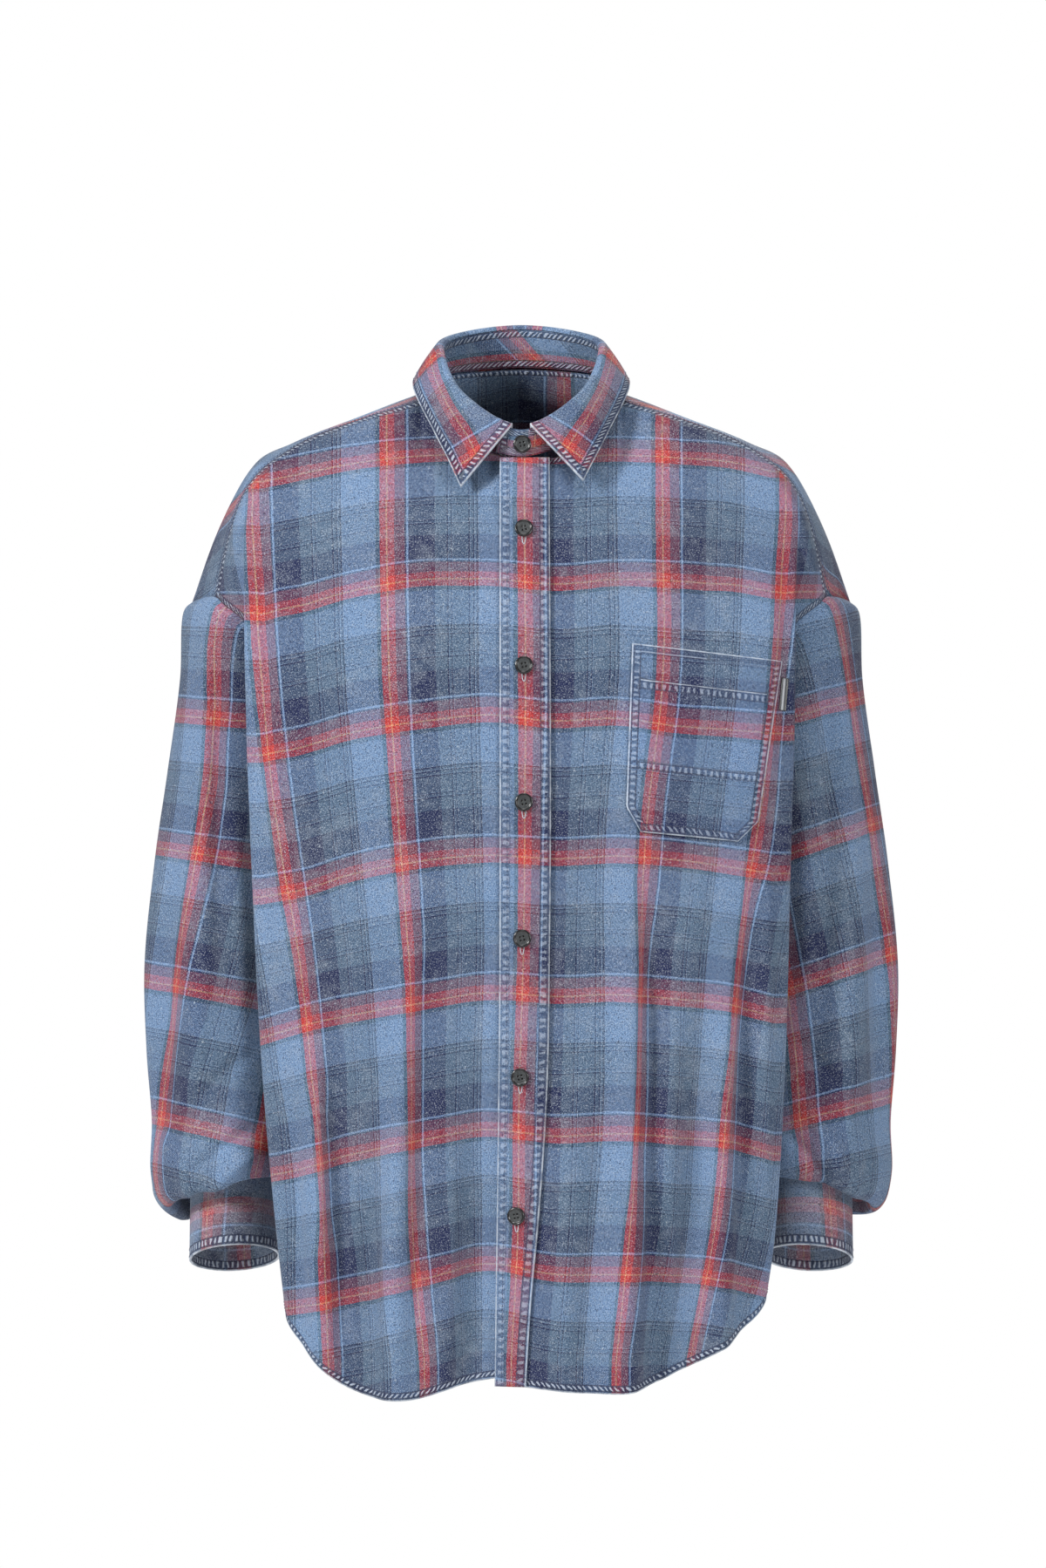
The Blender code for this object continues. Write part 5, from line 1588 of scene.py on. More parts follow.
# ================================================================ shader building
class Wire:
    """An output of a shader node. Arithmetic on it adds Math nodes."""

    def __init__(self, nodes: "Nodes", socket: bpy.types.NodeSocket) -> None:
        """Keeps the output and the tree it is in."""
        self.nodes = nodes
        self.socket = socket

    def math(self, operation: str, *values: Value, first: Optional[Value] = None) -> "Wire":
        """Adds a Math node.

        Args:
            operation: its operation.
            values: its inputs after this wire.
            first: an input to put before this wire instead.
        Returns:
            The node's output.
        """
        chain = [self, *values] if first is None else [first, self]
        return self.nodes.add("ShaderNodeMath", {"operation": operation}, dict(enumerate(chain)))

    def __add__(self, other: Value) -> "Wire":
        """The sum."""
        return self.math("ADD", other)

    def __sub__(self, other: Value) -> "Wire":
        """The difference."""
        return self.math("SUBTRACT", other)

    def __rsub__(self, other: Value) -> "Wire":
        """The other value less this one."""
        return self.math("SUBTRACT", first=other)

    def __mul__(self, other: Value) -> "Wire":
        """The product."""
        return self.math("MULTIPLY", other)

    def __truediv__(self, other: Value) -> "Wire":
        """The quotient."""
        return self.math("DIVIDE", other)

    __radd__ = __add__
    __rmul__ = __mul__

    def fraction(self) -> "Wire":
        """What is left above the whole number below."""
        return self.math("FRACT")

    def sine(self) -> "Wire":
        """The sine."""
        return self.math("SINE")

    def least(self, other: Value) -> "Wire":
        """The smaller of the two."""
        return self.math("MINIMUM", other)

    def most(self, other: Value) -> "Wire":
        """The greater of the two."""
        return self.math("MAXIMUM", other)

    def held(self) -> "Wire":
        """The value held between 0 and 1."""
        return self.least(1.0).most(0.0)

    def ramp(self, start: float, full: float) -> "Wire":
        """0 before start, 1 past full, eased between."""
        return self.nodes.add("ShaderNodeMapRange", {"interpolation_type": "SMOOTHSTEP"},
                              {"Value": self, "From Min": start, "From Max": full})

    def hill(self, centre: float, width: float) -> "Wire":
        """1 at the centre, easing to 0 a width away on both sides."""
        return 1.0 - (self - centre).math("ABSOLUTE").ramp(0.0, width)

    def tinted(self, colour: Value, share: Value, blend: str = "MIX") -> "Wire":
        """This colour mixed towards another by a share.

        Args:
            colour: the other colour.
            share: how far.
            blend: the way of mixing.
        Returns:
            The mixed colour.
        """
        return self.nodes.add("ShaderNodeMix", {"data_type": "RGBA", "blend_type": blend},
                              {0: share, 6: self, 7: colour}, output=2)


class Nodes:
    """A material and its node tree, with one way of adding a node."""

    def __init__(self, name: str) -> None:
        """Makes the material with its Principled shader.

        Args:
            name: its name.
        """
        self.material = bpy.data.materials.new(name)
        self.material.use_nodes = True
        self.tree = self.material.node_tree
        self.shader = self.tree.nodes["Principled BSDF"]

    def add(self, kind: str, settings: Optional[Dict[str, object]] = None,
            inputs: Optional[Dict[object, object]] = None, output: object = 0) -> Wire:
        """Adds a node.

        Args:
            kind: its type.
            settings: its settings, set first; stops are a ramp's places and colours.
            inputs: values or wires for its inputs.
            output: the output that is returned.
        Returns:
            A wire on that output.
        """
        node = self.tree.nodes.new(kind)
        for key, value in (settings or {}).items():
            if key == "stops":
                self.set_stops(node.color_ramp, value)
            else:
                setattr(node, key, value)
        for key, value in (inputs or {}).items():
            self.feed(node.inputs[key], value)
        return Wire(self, node.outputs[output])

    def set_stops(self, ramp: bpy.types.ColorRamp, stops: Sequence[Tuple[float, Colour]]) -> None:
        """Gives a ramp its stops, each colour holding until the next.

        Args:
            ramp: the ramp.
            stops: the place and the colour of each stop.
        """
        ramp.interpolation = "CONSTANT"
        while len(ramp.elements) < len(stops):
            ramp.elements.new(0.5)
        for element, (place, colour) in zip(ramp.elements, stops):
            element.position = place
            element.color = (*colour, 1.0)

    def blend(self, share: Value, dark: Colour, light: Colour) -> Wire:
        """Two colours mixed by a share of the second."""
        return self.add("ShaderNodeMix", {"data_type": "RGBA"}, {0: share, 6: dark, 7: light},
                        output=2)

    def feed(self, socket: bpy.types.NodeSocket, value: object) -> None:
        """Links a wire to an input, or sets the input's own value.

        Args:
            socket: the input.
            value: the wire, number, colour or vector.
        """
        if isinstance(value, Wire):
            self.tree.links.new(value.socket, socket)
        elif isinstance(value, tuple) and len(value) == 3 and socket.type == "RGBA":
            socket.default_value = (*value, 1.0)
        else:
            socket.default_value = value

    def parts(self, vector: Wire) -> List[Wire]:
        """A vector's three numbers."""
        node = self.add("ShaderNodeSeparateXYZ", None, {0: vector}).socket.node
        return [Wire(self, socket) for socket in node.outputs]

    def join(self, x: Value, y: Value, z: Value = 0.0) -> Wire:
        """A vector of three numbers."""
        return self.add("ShaderNodeCombineXYZ", None, {0: x, 1: y, 2: z})

    def uv(self, name: str) -> Wire:
        """A UV map."""
        return self.add("ShaderNodeUVMap", {"uv_map": name})

    def object_place(self) -> Wire:
        """The object's own coordinates, in metres."""
        return self.add("ShaderNodeTexCoord", None, None, "Object")

    def noise(self, vector: Wire, scale: float, detail: float = 2.0, rough: float = 0.5) -> Wire:
        """Noise from 0 to 1, so many cells to the metre."""
        return self.add("ShaderNodeTexNoise", None, {"Vector": vector, "Scale": scale,
                                                      "Detail": detail, "Roughness": rough})

    def relief(self, height: Wire, distance: float, strength: float = 1.0) -> Wire:
        """A Bump node's normal, its height in shares of distance."""
        return self.add("ShaderNodeBump", None, {"Height": height, "Distance": distance,
                                                 "Strength": strength})

    def finish(self, **inputs: object) -> bpy.types.Material:
        """Feeds the shader's inputs, underscores standing for spaces, and gives the material."""
        for key, value in inputs.items():
            self.feed(self.shader.inputs[key.replace("_", " ")], value)
        return self.material


def shade(red: int, green: int, blue: int) -> Colour:
    """A colour as it shows, 0 to 255, turned into light: ((c + 0.055) / 1.055) ^ 2.4."""
    shown = np.array([red, green, blue]) / 255.0
    light = np.where(shown > 0.04045, ((shown + 0.055) / 1.055) ** 2.4, shown / 12.92)
    return tuple(float(value) for value in light)


# ================================================================ finishes
@dataclass(frozen=True)
class Yarns:
    """The washed colours of the check's yarns, as they show."""

    red: Colour = shade(184, 52, 44)
    gold: Colour = shade(208, 146, 104)
    plum: Colour = shade(116, 54, 68)
    navy: Colour = shade(25, 34, 72)
    line: Colour = shade(128, 156, 196)
    slate: Colour = shade(78, 98, 120)
    ink: Colour = shade(22, 34, 66)
    pale: Colour = shade(120, 144, 172)
    steel: Colour = shade(80, 102, 126)
    sky: Colour = shade(108, 136, 171)
    bottle: Colour = shade(66, 96, 118)

    def sett(self) -> List[Tuple[float, Colour]]:
        """The check's repeat: where each band of yarn starts, as a share of it."""
        bands = [(0.0, self.red), (0.045, self.gold), (0.055, self.red), (0.108, self.plum),
                 (0.182, self.navy), (0.192, self.line), (0.209, self.navy), (0.4, self.slate)]
        for start in (0.488, 0.516, 0.644, 0.678, 0.704):
            bands += [(start, self.ink), (start + 0.009, self.pale), (start + 0.014, self.steel)]
        return bands + [(0.716, self.sky), (0.966, self.bottle)]


@dataclass(frozen=True)
class CheckedTwill:
    """Washed cotton twill in the check, with its weave, flecks, stitched bands and worn edges.

    Between its two rows of stitches a stitched band is gathered into small bars, with painted
    highlight on their crests and painted shade between them.

    Attributes:
        twill_pitch: from one of the twill's ribs to the next, along a yarn.
        twill_contrast: how much the ribs show.
        grain: how much the uneven yarns show.
        weft_share: the share of weft that shows between the ribs.
        waver: how far the check's lines waver to both sides.
        rows: how far from an edge the two rows of stitches are.
        bar_pitch: from one bar to the next.
        bar_slant: how much the bars lean.
        pucker: how strong the bars' relief, their painted shade and highlight, and the painted
            shade along the stitches are.
        wash_and_painted_lift: how much of the wash is over all of the cloth; raised on the cuffs,
            where it is partly painted light.
        pale, pale_fleck: the colours of small and large pale flecks.
        seam_painted_shade: the colour of the painted shade along the stitches.
        bar_painted_shade, bar_painted_highlight: the colours of the painted shade between the bars
            and the painted highlight on them.
        tone: what every colour is multiplied by.
        grains: for the slubs, specks and flecks, cells to a metre across and down, which layer
            of the noise, its detail and its roughness.
    """

    name: str
    yarns: Yarns = Yarns()
    repeat: float = REPEAT
    twill_pitch: float = 0.0012
    twill_contrast: float = 0.26
    grain: float = 1.15
    weft_share: float = 0.455
    waver: float = 0.0007
    rows: Pair = (0.0022, 0.0072)
    bar_pitch: float = 0.0044
    bar_slant: float = 0.0
    pucker: float = 1.0
    wear: float = 1.0
    wash_and_painted_lift: float = 0.02
    haze: Colour = shade(150, 160, 172)
    dark: Colour = shade(26, 34, 56)
    pale: Colour = shade(186, 194, 204)
    pale_fleck: Colour = shade(178, 186, 192)
    seam_painted_shade: Colour = shade(26, 34, 64)
    bar_painted_shade: Colour = shade(30, 38, 70)
    bar_painted_highlight: Colour = shade(190, 200, 216)
    worn: Colour = shade(196, 204, 214)
    tone: Colour = (1.0, 1.0, 1.0)
    roughness: float = 0.88
    grains: Table = ((1500.0, 380.0, 0.0, 2.0, 0.6), (950.0, 900.0, 3.0, 3.0, 0.7),
                     (430.0, 300.0, 7.0, 3.0, 0.75))

    def make(self) -> bpy.types.Material:
        """Builds the material."""
        nodes = Nodes(self.name)
        place = nodes.object_place()
        u, v, _ = nodes.parts(nodes.uv(UV_NAME))
        run, away, _ = nodes.parts(nodes.uv(TRIM_NAME))
        u = u + (nodes.noise(place, 45.0, 2.0) - 0.5) * self.waver * 2.0
        v = v + (nodes.noise(place, 38.0, 2.0) - 0.5) * self.waver * 2.0
        warp, weft = (nodes.add("ShaderNodeValToRGB", {"stops": self.yarns.sett()},
                                {0: (along / self.repeat).fraction()}) for along in (u, v))
        rib = ((u - v) * (FULL_TURN / (self.twill_pitch * np.sqrt(2.0)))).sine()
        slub, speck, fleck = (
            nodes.noise(nodes.join(u * across, v * down, layer), 1.0, detail, rough)
            for across, down, layer, detail, rough in self.grains)
        share = (rib * self.twill_contrast + (slub - 0.5) * self.grain + self.weft_share).held()
        colour = warp.tinted(weft, share)
        wash = nodes.noise(place, 9.0, 4.0, 0.6)
        cloud = nodes.noise(place, 85.0, 5.0, 0.7)
        wash_and_painted_lift = ((wash - 0.5) * 0.6 + (cloud - 0.5) * 1.6 + self.wash_and_painted_lift).held()
        for tint, share in (
                (self.haze, wash_and_painted_lift * 0.75),
                (self.dark, (speck.ramp(0.5, 0.35) * 0.8).held()),
                (self.dark, (fleck.ramp(0.47, 0.32) * 0.6).held()),
                (self.pale, (speck.ramp(0.53, 0.68) * 0.62 * (0.5 + wash)).held()),
                (self.pale_fleck, (fleck.ramp(0.59, 0.74) * 0.7).held())):
            colour = colour.tinted(tint, share)
        return self.trimmed(nodes, colour, run, away, rib, slub, speck, cloud)

    def trimmed(self, nodes: Nodes, colour: Wire, run: Wire, away: Wire, rib: Wire, slub: Wire,
                speck: Wire, cloud: Wire) -> bpy.types.Material:
        """Adds the stitched band with its painted shade and highlight, the worn edge and the
        relief, and finishes the material.

        Args:
            nodes: the material's nodes.
            colour: the cloth's colour.
            run: metres along the nearest edge.
            away: metres from it.
            rib: the twill's diagonal, -1 to 1.
            slub: the uneven yarns, 0 to 1.
            speck: the fine grain, 0 to 1.
            cloud: the mottled wash, 0 to 1.
        Returns:
            The material.
        """
        low, high = self.rows
        jitter = nodes.noise(nodes.join(run * 160.0, away * 90.0), 1.0, 2.0, 0.6)
        phase = (run + away * self.bar_slant) * (FULL_TURN / self.bar_pitch)
        bars = (phase + (jitter - 0.5) * 9.0).sine() * (0.35 + jitter)
        inside = away.ramp(low - 0.0002, low + 0.001) * away.ramp(high + 0.0004, high - 0.001)
        rows = away.hill(low, 0.0009).most(away.hill(high, 0.0009)) * away.ramp(0.0004, 0.0012)
        worn = away.ramp(0.0014, 0.0005) * (0.25 + 0.6 * cloud.ramp(0.35, 0.6)) * self.wear
        # painted shade along the stitch rows, painted shade between the bars and painted highlight
        # on their crests; the last tint is the edge's real wear
        for tint, share in (
                (self.seam_painted_shade, (away.ramp(high + 0.0016, high) * 0.22
                                  + rows * 0.45) * self.pucker),
                (self.bar_painted_shade, bars.ramp(-0.05, -0.6) * inside * 0.6 * self.pucker),
                (self.bar_painted_highlight, bars.ramp(0.05, 0.6) * inside * 0.62 * self.pucker),
                (self.worn, worn)):
            colour = colour.tinted(tint, share)
        colour = colour.tinted(self.tone, 1.0, "MULTIPLY")
        weave = nodes.relief(rib * 0.1 + slub * 0.4 + speck * 0.3, 0.0005, 0.8)
        relief = nodes.add("ShaderNodeBump", None, {
            "Height": bars * inside * 0.5 * self.pucker - rows * 0.6 * self.pucker,
            "Distance": 0.0014, "Strength": 0.7, "Normal": weave})
        rough = (self.roughness + (cloud - 0.5) * 0.16).held()
        return nodes.finish(Base_Color=colour, Roughness=rough, Normal=relief,
                            Sheen_Weight=0.1, Sheen_Roughness=0.5, Specular_IOR_Level=0.2)


@dataclass(frozen=True)
class ButtonResin:
    """Black polished resin, a little scuffed."""

    name: str = "black_resin"
    dark: Colour = shade(12, 12, 13)
    light: Colour = shade(34, 34, 36)
    gloss: float = 0.14

    def make(self) -> bpy.types.Material:
        """Builds the material."""
        nodes = Nodes(self.name)
        place = nodes.object_place()
        cloud = nodes.noise(place, 900.0, 3.0, 0.6)
        scuff = nodes.noise(place, 4200.0, 2.0, 0.7)
        colour = nodes.blend(cloud.ramp(0.3, 0.7), self.dark, self.light)
        colour = colour.tinted(shade(120, 120, 122), scuff.ramp(0.64, 0.78) * 0.35)
        rough = self.gloss + 0.22 * scuff
        return nodes.finish(Base_Color=colour, Roughness=rough,
                            Normal=nodes.relief(scuff, 0.00005, 0.4), Coat_Weight=0.3,
                            Coat_Roughness=0.1)


@dataclass(frozen=True)
class BrushedSteel:
    """Brushed grey metal, its strokes along the bar."""

    name: str = "brushed_steel"

    def make(self) -> bpy.types.Material:
        """Builds the material."""
        nodes = Nodes(self.name)
        x, y, z = nodes.parts(nodes.object_place())
        stroke = nodes.noise(nodes.join(x * 5000.0, z * 260.0, y * 260.0), 1.0, 3.0, 0.6)
        colour = nodes.blend(stroke, shade(70, 72, 75), shade(150, 152, 156))
        return nodes.finish(Base_Color=colour, Roughness=0.34 + 0.2 * stroke, Metallic=1.0,
                            Normal=nodes.relief(stroke, 0.00004, 0.5))


@dataclass(frozen=True)
class Thread:
    """Spun sewing thread with a twist along it."""

    name: str
    colour: Colour
    lighter: Colour

    def make(self) -> bpy.types.Material:
        """Builds the material."""
        nodes = Nodes(self.name)
        place = nodes.object_place()
        fibre = nodes.noise(place, 2600.0, 2.0, 0.6)
        tint = nodes.noise(place, 130.0, 2.0, 0.6)
        colour = nodes.blend((fibre * 0.6 + tint * 0.5).held(), self.colour, self.lighter)
        return nodes.finish(Base_Color=colour, Roughness=0.6 + 0.25 * fibre,
                            Normal=nodes.relief(fibre, 0.00015, 0.6), Sheen_Weight=0.15)


@dataclass(frozen=True)
class PaleFloor:
    """A matt pale floor, faintly mottled."""

    name: str = "pale_floor"

    def make(self) -> bpy.types.Material:
        """Builds the material."""
        nodes = Nodes(self.name)
        mottle = nodes.noise(nodes.object_place(), 6.0, 4.0, 0.6)
        colour = nodes.blend(mottle, shade(236, 236, 236), shade(246, 246, 246))
        return nodes.finish(Base_Color=colour, Roughness=0.7 + 0.1 * mottle)


# ================================================================ stitches and buttons
class Edge(Enum):
    """An edge of a cloth's grid."""

    TOP = "top"
    BOTTOM = "bottom"
    LEFT = "left"
    RIGHT = "right"


@dataclass(frozen=True)
class StitchRow:
    """A row of stitches in a cloth, along one of its edges at a distance from it.

    Attributes:
        edge: the edge.
        distance: how far in from it, in metres.
        first: the share of the edge where the row starts.
        last: the share where it ends.
    """

    edge: Edge
    distance: float
    first: float = 0.0
    last: float = 1.0

    def line(self, cloth: Cloth) -> Tuple[Array, Array]:
        """The row's points and outward normals.

        Each column or row of the grid is followed from the edge for the row's distance.

        Args:
            cloth: the cloth.
        Returns:
            The points and the normals.
        """
        net, normal = cloth.net, cloth.normals()
        if self.edge in (Edge.LEFT, Edge.RIGHT):
            net, normal = net.swapaxes(0, 1), normal.swapaxes(0, 1)
        if self.edge in (Edge.BOTTOM, Edge.RIGHT):
            net, normal = net[::-1], normal[::-1]
        walk = arc_down(net)
        low = np.clip((walk < self.distance).sum(axis=0) - 1, 0, len(walk) - 2)
        place = np.arange(net.shape[1])
        share = (self.distance - walk[low, place]) / (walk[low + 1, place] - walk[low, place])
        share = np.clip(share, 0.0, 1.0)[:, None]
        line = net[low, place] * (1.0 - share) + net[low + 1, place] * share
        start = int(round(self.first * (len(line) - 1)))
        end = int(round(self.last * (len(line) - 1))) + 1
        return line[start:end], normal[low, place][start:end]


@dataclass
class Stitching:
    """Rows of thread: each stitch a small pointed capsule that lies along its row.

    A capsule is rings round its length, their radius r * sqrt(1 - a^4) at the share a of the
    half length, so it is full in the middle and closed at its ends.

    Attributes:
        pitch: from one stitch to the next.
        share: a stitch's length as a share of that.
        along: where along its half length the capsule's rings are.
        lift: how far above the cloth its middle is.
    """

    material: bpy.types.Material
    pitch: float = 0.0031
    share: float = 0.74
    radius: float = 0.0003
    sides: int = 5
    along: Tuple[float, ...] = (-0.97, -0.6, 0.0, 0.6, 0.97)
    lift: float = 0.00008
    points: List[Array] = field(default_factory=list)

    def capsule(self) -> Tuple[Array, List[Array]]:
        """The capsule along X, half length 1 and radius 1.

        Returns:
            Its points, and the corners of its quads, its start's fan and its end's.
        """
        along = np.array(self.along)[:, None]
        radius = np.sqrt(1.0 - along ** 4)
        turn = np.arange(self.sides) * 2.0 * np.pi / self.sides
        size = (len(along), self.sides)
        rings = np.stack([np.broadcast_to(along, size), radius * np.cos(turn),
                          radius * np.sin(turn)], axis=-1)
        number = np.arange(along.size * self.sides).reshape(size)
        fan = np.arange(1, self.sides - 1)
        start = np.stack([np.zeros_like(fan), fan + 1, fan], axis=-1)
        end = np.stack([np.zeros_like(fan), fan, fan + 1], axis=-1) + number[-1, 0]
        return rings.reshape(-1, 3), [ring_corners(number), start, end]

    def sew(self, cloth: Cloth, row: StitchRow) -> None:
        """Adds one row of stitches on a cloth's outside."""
        line, normal = row.line(cloth)
        self.sew_line(line + normal * (0.5 * cloth.wall + self.lift), normal)

    def sew_line(self, line: Array, normal: Array) -> None:
        """Adds stitches along a line.

        Args:
            line: its points.
            normal: the cloth's normals there.
        """
        walk = np.append(0.0, np.cumsum(np.linalg.norm(np.diff(line, axis=0), axis=1)))
        count = int(walk[-1] / self.pitch)
        if count < 1:
            return
        middle = (np.arange(count) + 0.5) * walk[-1] / count
        half = 0.5 * self.share * self.pitch

        def along_it(values: Array, at: Array) -> Array:
            """The values at these lengths along the line."""
            return np.stack([np.interp(at, walk, values[:, axis]) for axis in range(3)], axis=1)

        way = unit(along_it(line, middle + half) - along_it(line, middle - half))
        up = unit(along_it(normal, middle))
        shape = self.capsule()[0][None, :, :, None]
        along = shape[:, :, 0] * way[:, None] * half
        around = shape[:, :, 1] * np.cross(up, way)[:, None] + shape[:, :, 2] * up[:, None]
        self.points.append(along_it(line, middle)[:, None] + along + around * self.radius)

    def build(self, name: str) -> None:
        """Makes one object of all the stitches added so far.

        Args:
            name: its name.
        """
        points = np.concatenate(self.points)
        offset = np.arange(len(points))[:, None, None] * points.shape[1]
        quads, *fans = [(part[None] + offset).reshape(-1, part.shape[1])
                        for part in self.capsule()[1]]
        add_object(name, points, quads.tolist() + np.concatenate(fans).tolist(),
                   [self.material])
        log.info("%s: %d stitches", name, len(points))


@dataclass
class Buttons:
    """The buttons: rimmed discs with four sunk holes, each raised a little off the cloth.

    Attributes:
        resin: the rim's finish.
        dish: the finish of the dish between the holes.
        hole_spread: half the way from one hole to the next.
        well_depth: how deep the holes go, as a share of the height.
        well_edge: where a hole's wall starts and ends, in shares of its radius.
        profile: the share of the radius and the share of the height of each ring.
        dish_rings: how many of them are the dish.
        thread_lift: how far above the cloth a button's back is.
        cuff_lift: how much further a cuff's button is.
        cuff_angle: where round the cuff its button is.
    """

    resin: bpy.types.Material
    dish: bpy.types.Material
    radius: float = 0.0072
    height: float = 0.0026
    hole_spread: float = 0.0014
    hole_radius: float = 0.0008
    well_depth: float = 0.45
    well_edge: Pair = (0.5, 1.25)
    turn: float = 0.2
    around: int = 56
    profile: Table = (
        (0.02, 0.6), (0.08, 0.6), (0.14, 0.6), (0.19, 0.6), (0.24, 0.6), (0.29, 0.6),
        (0.34, 0.6), (0.39, 0.6), (0.45, 0.605), (0.53, 0.61), (0.61, 0.63), (0.67, 0.66),
        (0.72, 0.76), (0.76, 0.9), (0.81, 0.98), (0.86, 1.0), (0.91, 0.97), (0.96, 0.86),
        (0.99, 0.7), (1.0, 0.52), (0.985, 0.34), (0.95, 0.18), (0.9, 0.07), (0.82, 0.0),
        (0.5, 0.0), (0.02, 0.0))
    dish_rings: int = 12
    thread_lift: float = 0.0006
    cuff_lift: float = 0.0004
    cuff_angle: float = 1.35
    front_places: Table = ((0.0021, -0.1123), (0.0021, -0.2205), (0.0021, -0.328),
                           (0.0007, -0.4348), (-0.0007, -0.5437), (-0.0034, -0.6526))
    stand_place: Pair = (0.0007, -0.0445)

    def disc(self) -> Tuple[Array, Array, Array]:
        """A button about +Z with its back at height 0.

        The profile is turned round the axis; inside the rim the dish sinks at each hole by a
        soft well.

        Returns:
            The grid of points, rings by angle, the faces' corners, and which faces are dish.
        """
        profile = np.array(self.profile)
        angle = np.arange(self.around) * 2.0 * np.pi / self.around
        x = profile[:, :1] * self.radius * np.cos(angle)
        y = profile[:, :1] * self.radius * np.sin(angle)
        z = np.repeat(profile[:, 1:] * self.height, self.around, axis=1)
        spin = self.turn + 0.5 * np.pi * np.arange(4) + 0.25 * np.pi
        holes = self.hole_spread * np.sqrt(2.0) * np.stack([np.cos(spin), np.sin(spin)], axis=1)
        away = np.hypot(x[..., None] - holes[:, 0], y[..., None] - holes[:, 1]).min(axis=-1)
        top = (np.arange(len(profile)) < self.dish_rings)[:, None]
        start, full = (share * self.hole_radius for share in self.well_edge)
        z = z - self.well_depth * self.height * (1.0 - ramp(away, start, full)) * top
        quads = ring_corners(np.arange(x.size).reshape(x.shape))[:, [0, 3, 2, 1]]
        dish = (top & (away > self.hole_radius))[:-1]
        return np.stack([x, y, z], axis=-1), quads, dish.reshape(-1)

    def place(self, point: Array, normal: Array, wall: float, node: str) -> None:
        """Puts a button on the cloth, its back towards it.

        Args:
            point: the cloth's middle there.
            normal: the way it faces.
            wall: the cloth's thickness.
            node: the solid that it stands for.
        """
        grid, quads, dish = self.disc()
        number = np.arange(grid.shape[0] * grid.shape[1]).reshape(grid.shape[:2])
        ends = [number[0].tolist(), number[-1][::-1].tolist()]
        points = grid.reshape(-1, 3) @ upright(normal) \
            + (point + normal * (0.5 * wall + self.thread_lift))
        add_object(node + "_disc", points, quads.tolist() + ends, [self.resin, self.dish],
                   node, np.append(dish, (0, 0)))


@dataclass
class Tab:
    """The plain metal bar at the pocket's outer edge, between two dark edges.

    Its section is a profile of width and height: flat flanges at both sides and a crown whose
    height rises by sqrt(1 - 0.98 a^2) at the share a of its half width.

    Attributes:
        flange: the left flange's profile, in shares of the half width and the thickness.
        crown: the crown's half width, then where its height starts and how far it rises.
        ends: half of the bar's length from its end: where each section is, and its height.
    """

    metal: bpy.types.Material
    edging: bpy.types.Material
    front: Cloth
    centre: Pair = (0.2065, -0.243)
    width: float = 0.0064
    height: float = 0.0262
    thickness: float = 0.001
    tilt: float = -0.15
    lift: float = 0.0012
    crown_points: int = 15
    crown: Point = (0.62, 0.35, 0.65)
    flange: Table = ((-1.0, 0.0), (-1.0, 0.62), (-0.94, 0.72), (-0.68, 0.72))
    ends: Table = ((-0.5, 0.0), (-0.5, 0.7), (-0.492, 0.93), (-0.47, 1.0), (-0.2, 1.0))

    def build(self) -> None:
        """Makes the bar and its two edges as one piece with two finishes."""
        share = np.linspace(-1.0, 1.0, self.crown_points)
        wide, low, tall = self.crown
        crown = np.stack([share * wide, low + tall * np.sqrt(1.0 - share ** 2 * 0.98)], axis=1)
        left, ends, turned = np.array(self.flange), np.array(self.ends), np.array([-1.0, 1.0])
        profile = np.concatenate([left, crown, left[::-1] * turned])
        profile = profile * np.array([0.5 * self.width, self.thickness])
        along, rise = np.concatenate([ends, ends[::-1] * turned]).T
        x = np.broadcast_to(profile[:, 0], (len(along), len(profile)))
        y = np.broadcast_to(along[:, None] * self.height, x.shape)
        z = profile[None, :, 1] * rise[:, None]
        point, normal = cast_frame(self.front, self.centre)
        turn = np.array([[np.cos(self.tilt), np.sin(self.tilt)],
                         [-np.sin(self.tilt), np.cos(self.tilt)]])
        axes = np.concatenate([turn @ upright(normal)[:2], normal[None]])
        points = np.stack([x, y, z], axis=-1).reshape(-1, 3) @ axes + point + normal * self.lift
        quads = grid_corners(*x.shape, flip=False)
        middle = (quads % len(profile)).mean(axis=1)
        edge = len(left) - 0.4
        inner = (middle > edge) & (middle < len(profile) - 1.0 - edge)
        add_object("pocket_tab_bar", points, quads.tolist(), [self.edging, self.metal],
                   "pocket_tab", inner)


@dataclass(frozen=True)
class Light:
    """A square soft light.

    Attributes:
        name: its name.
        place: where it stands.
        height: the height on the shirt's axis that it faces.
        size: its side, in metres.
        power: its power, in watts.
    """

    name: str
    place: Point
    height: float
    size: float
    power: float

    def add(self) -> None:
        """Adds it to the scene."""
        data = bpy.data.lights.new(self.name, "AREA")
        data.size = self.size
        data.energy = self.power
        lamp = linked(self.name, data)
        lamp.location = self.place
        way = Vector((0.0, 0.0, self.height)) - Vector(self.place)
        lamp.rotation_euler = way.to_track_quat("-Z", "Y").to_euler()


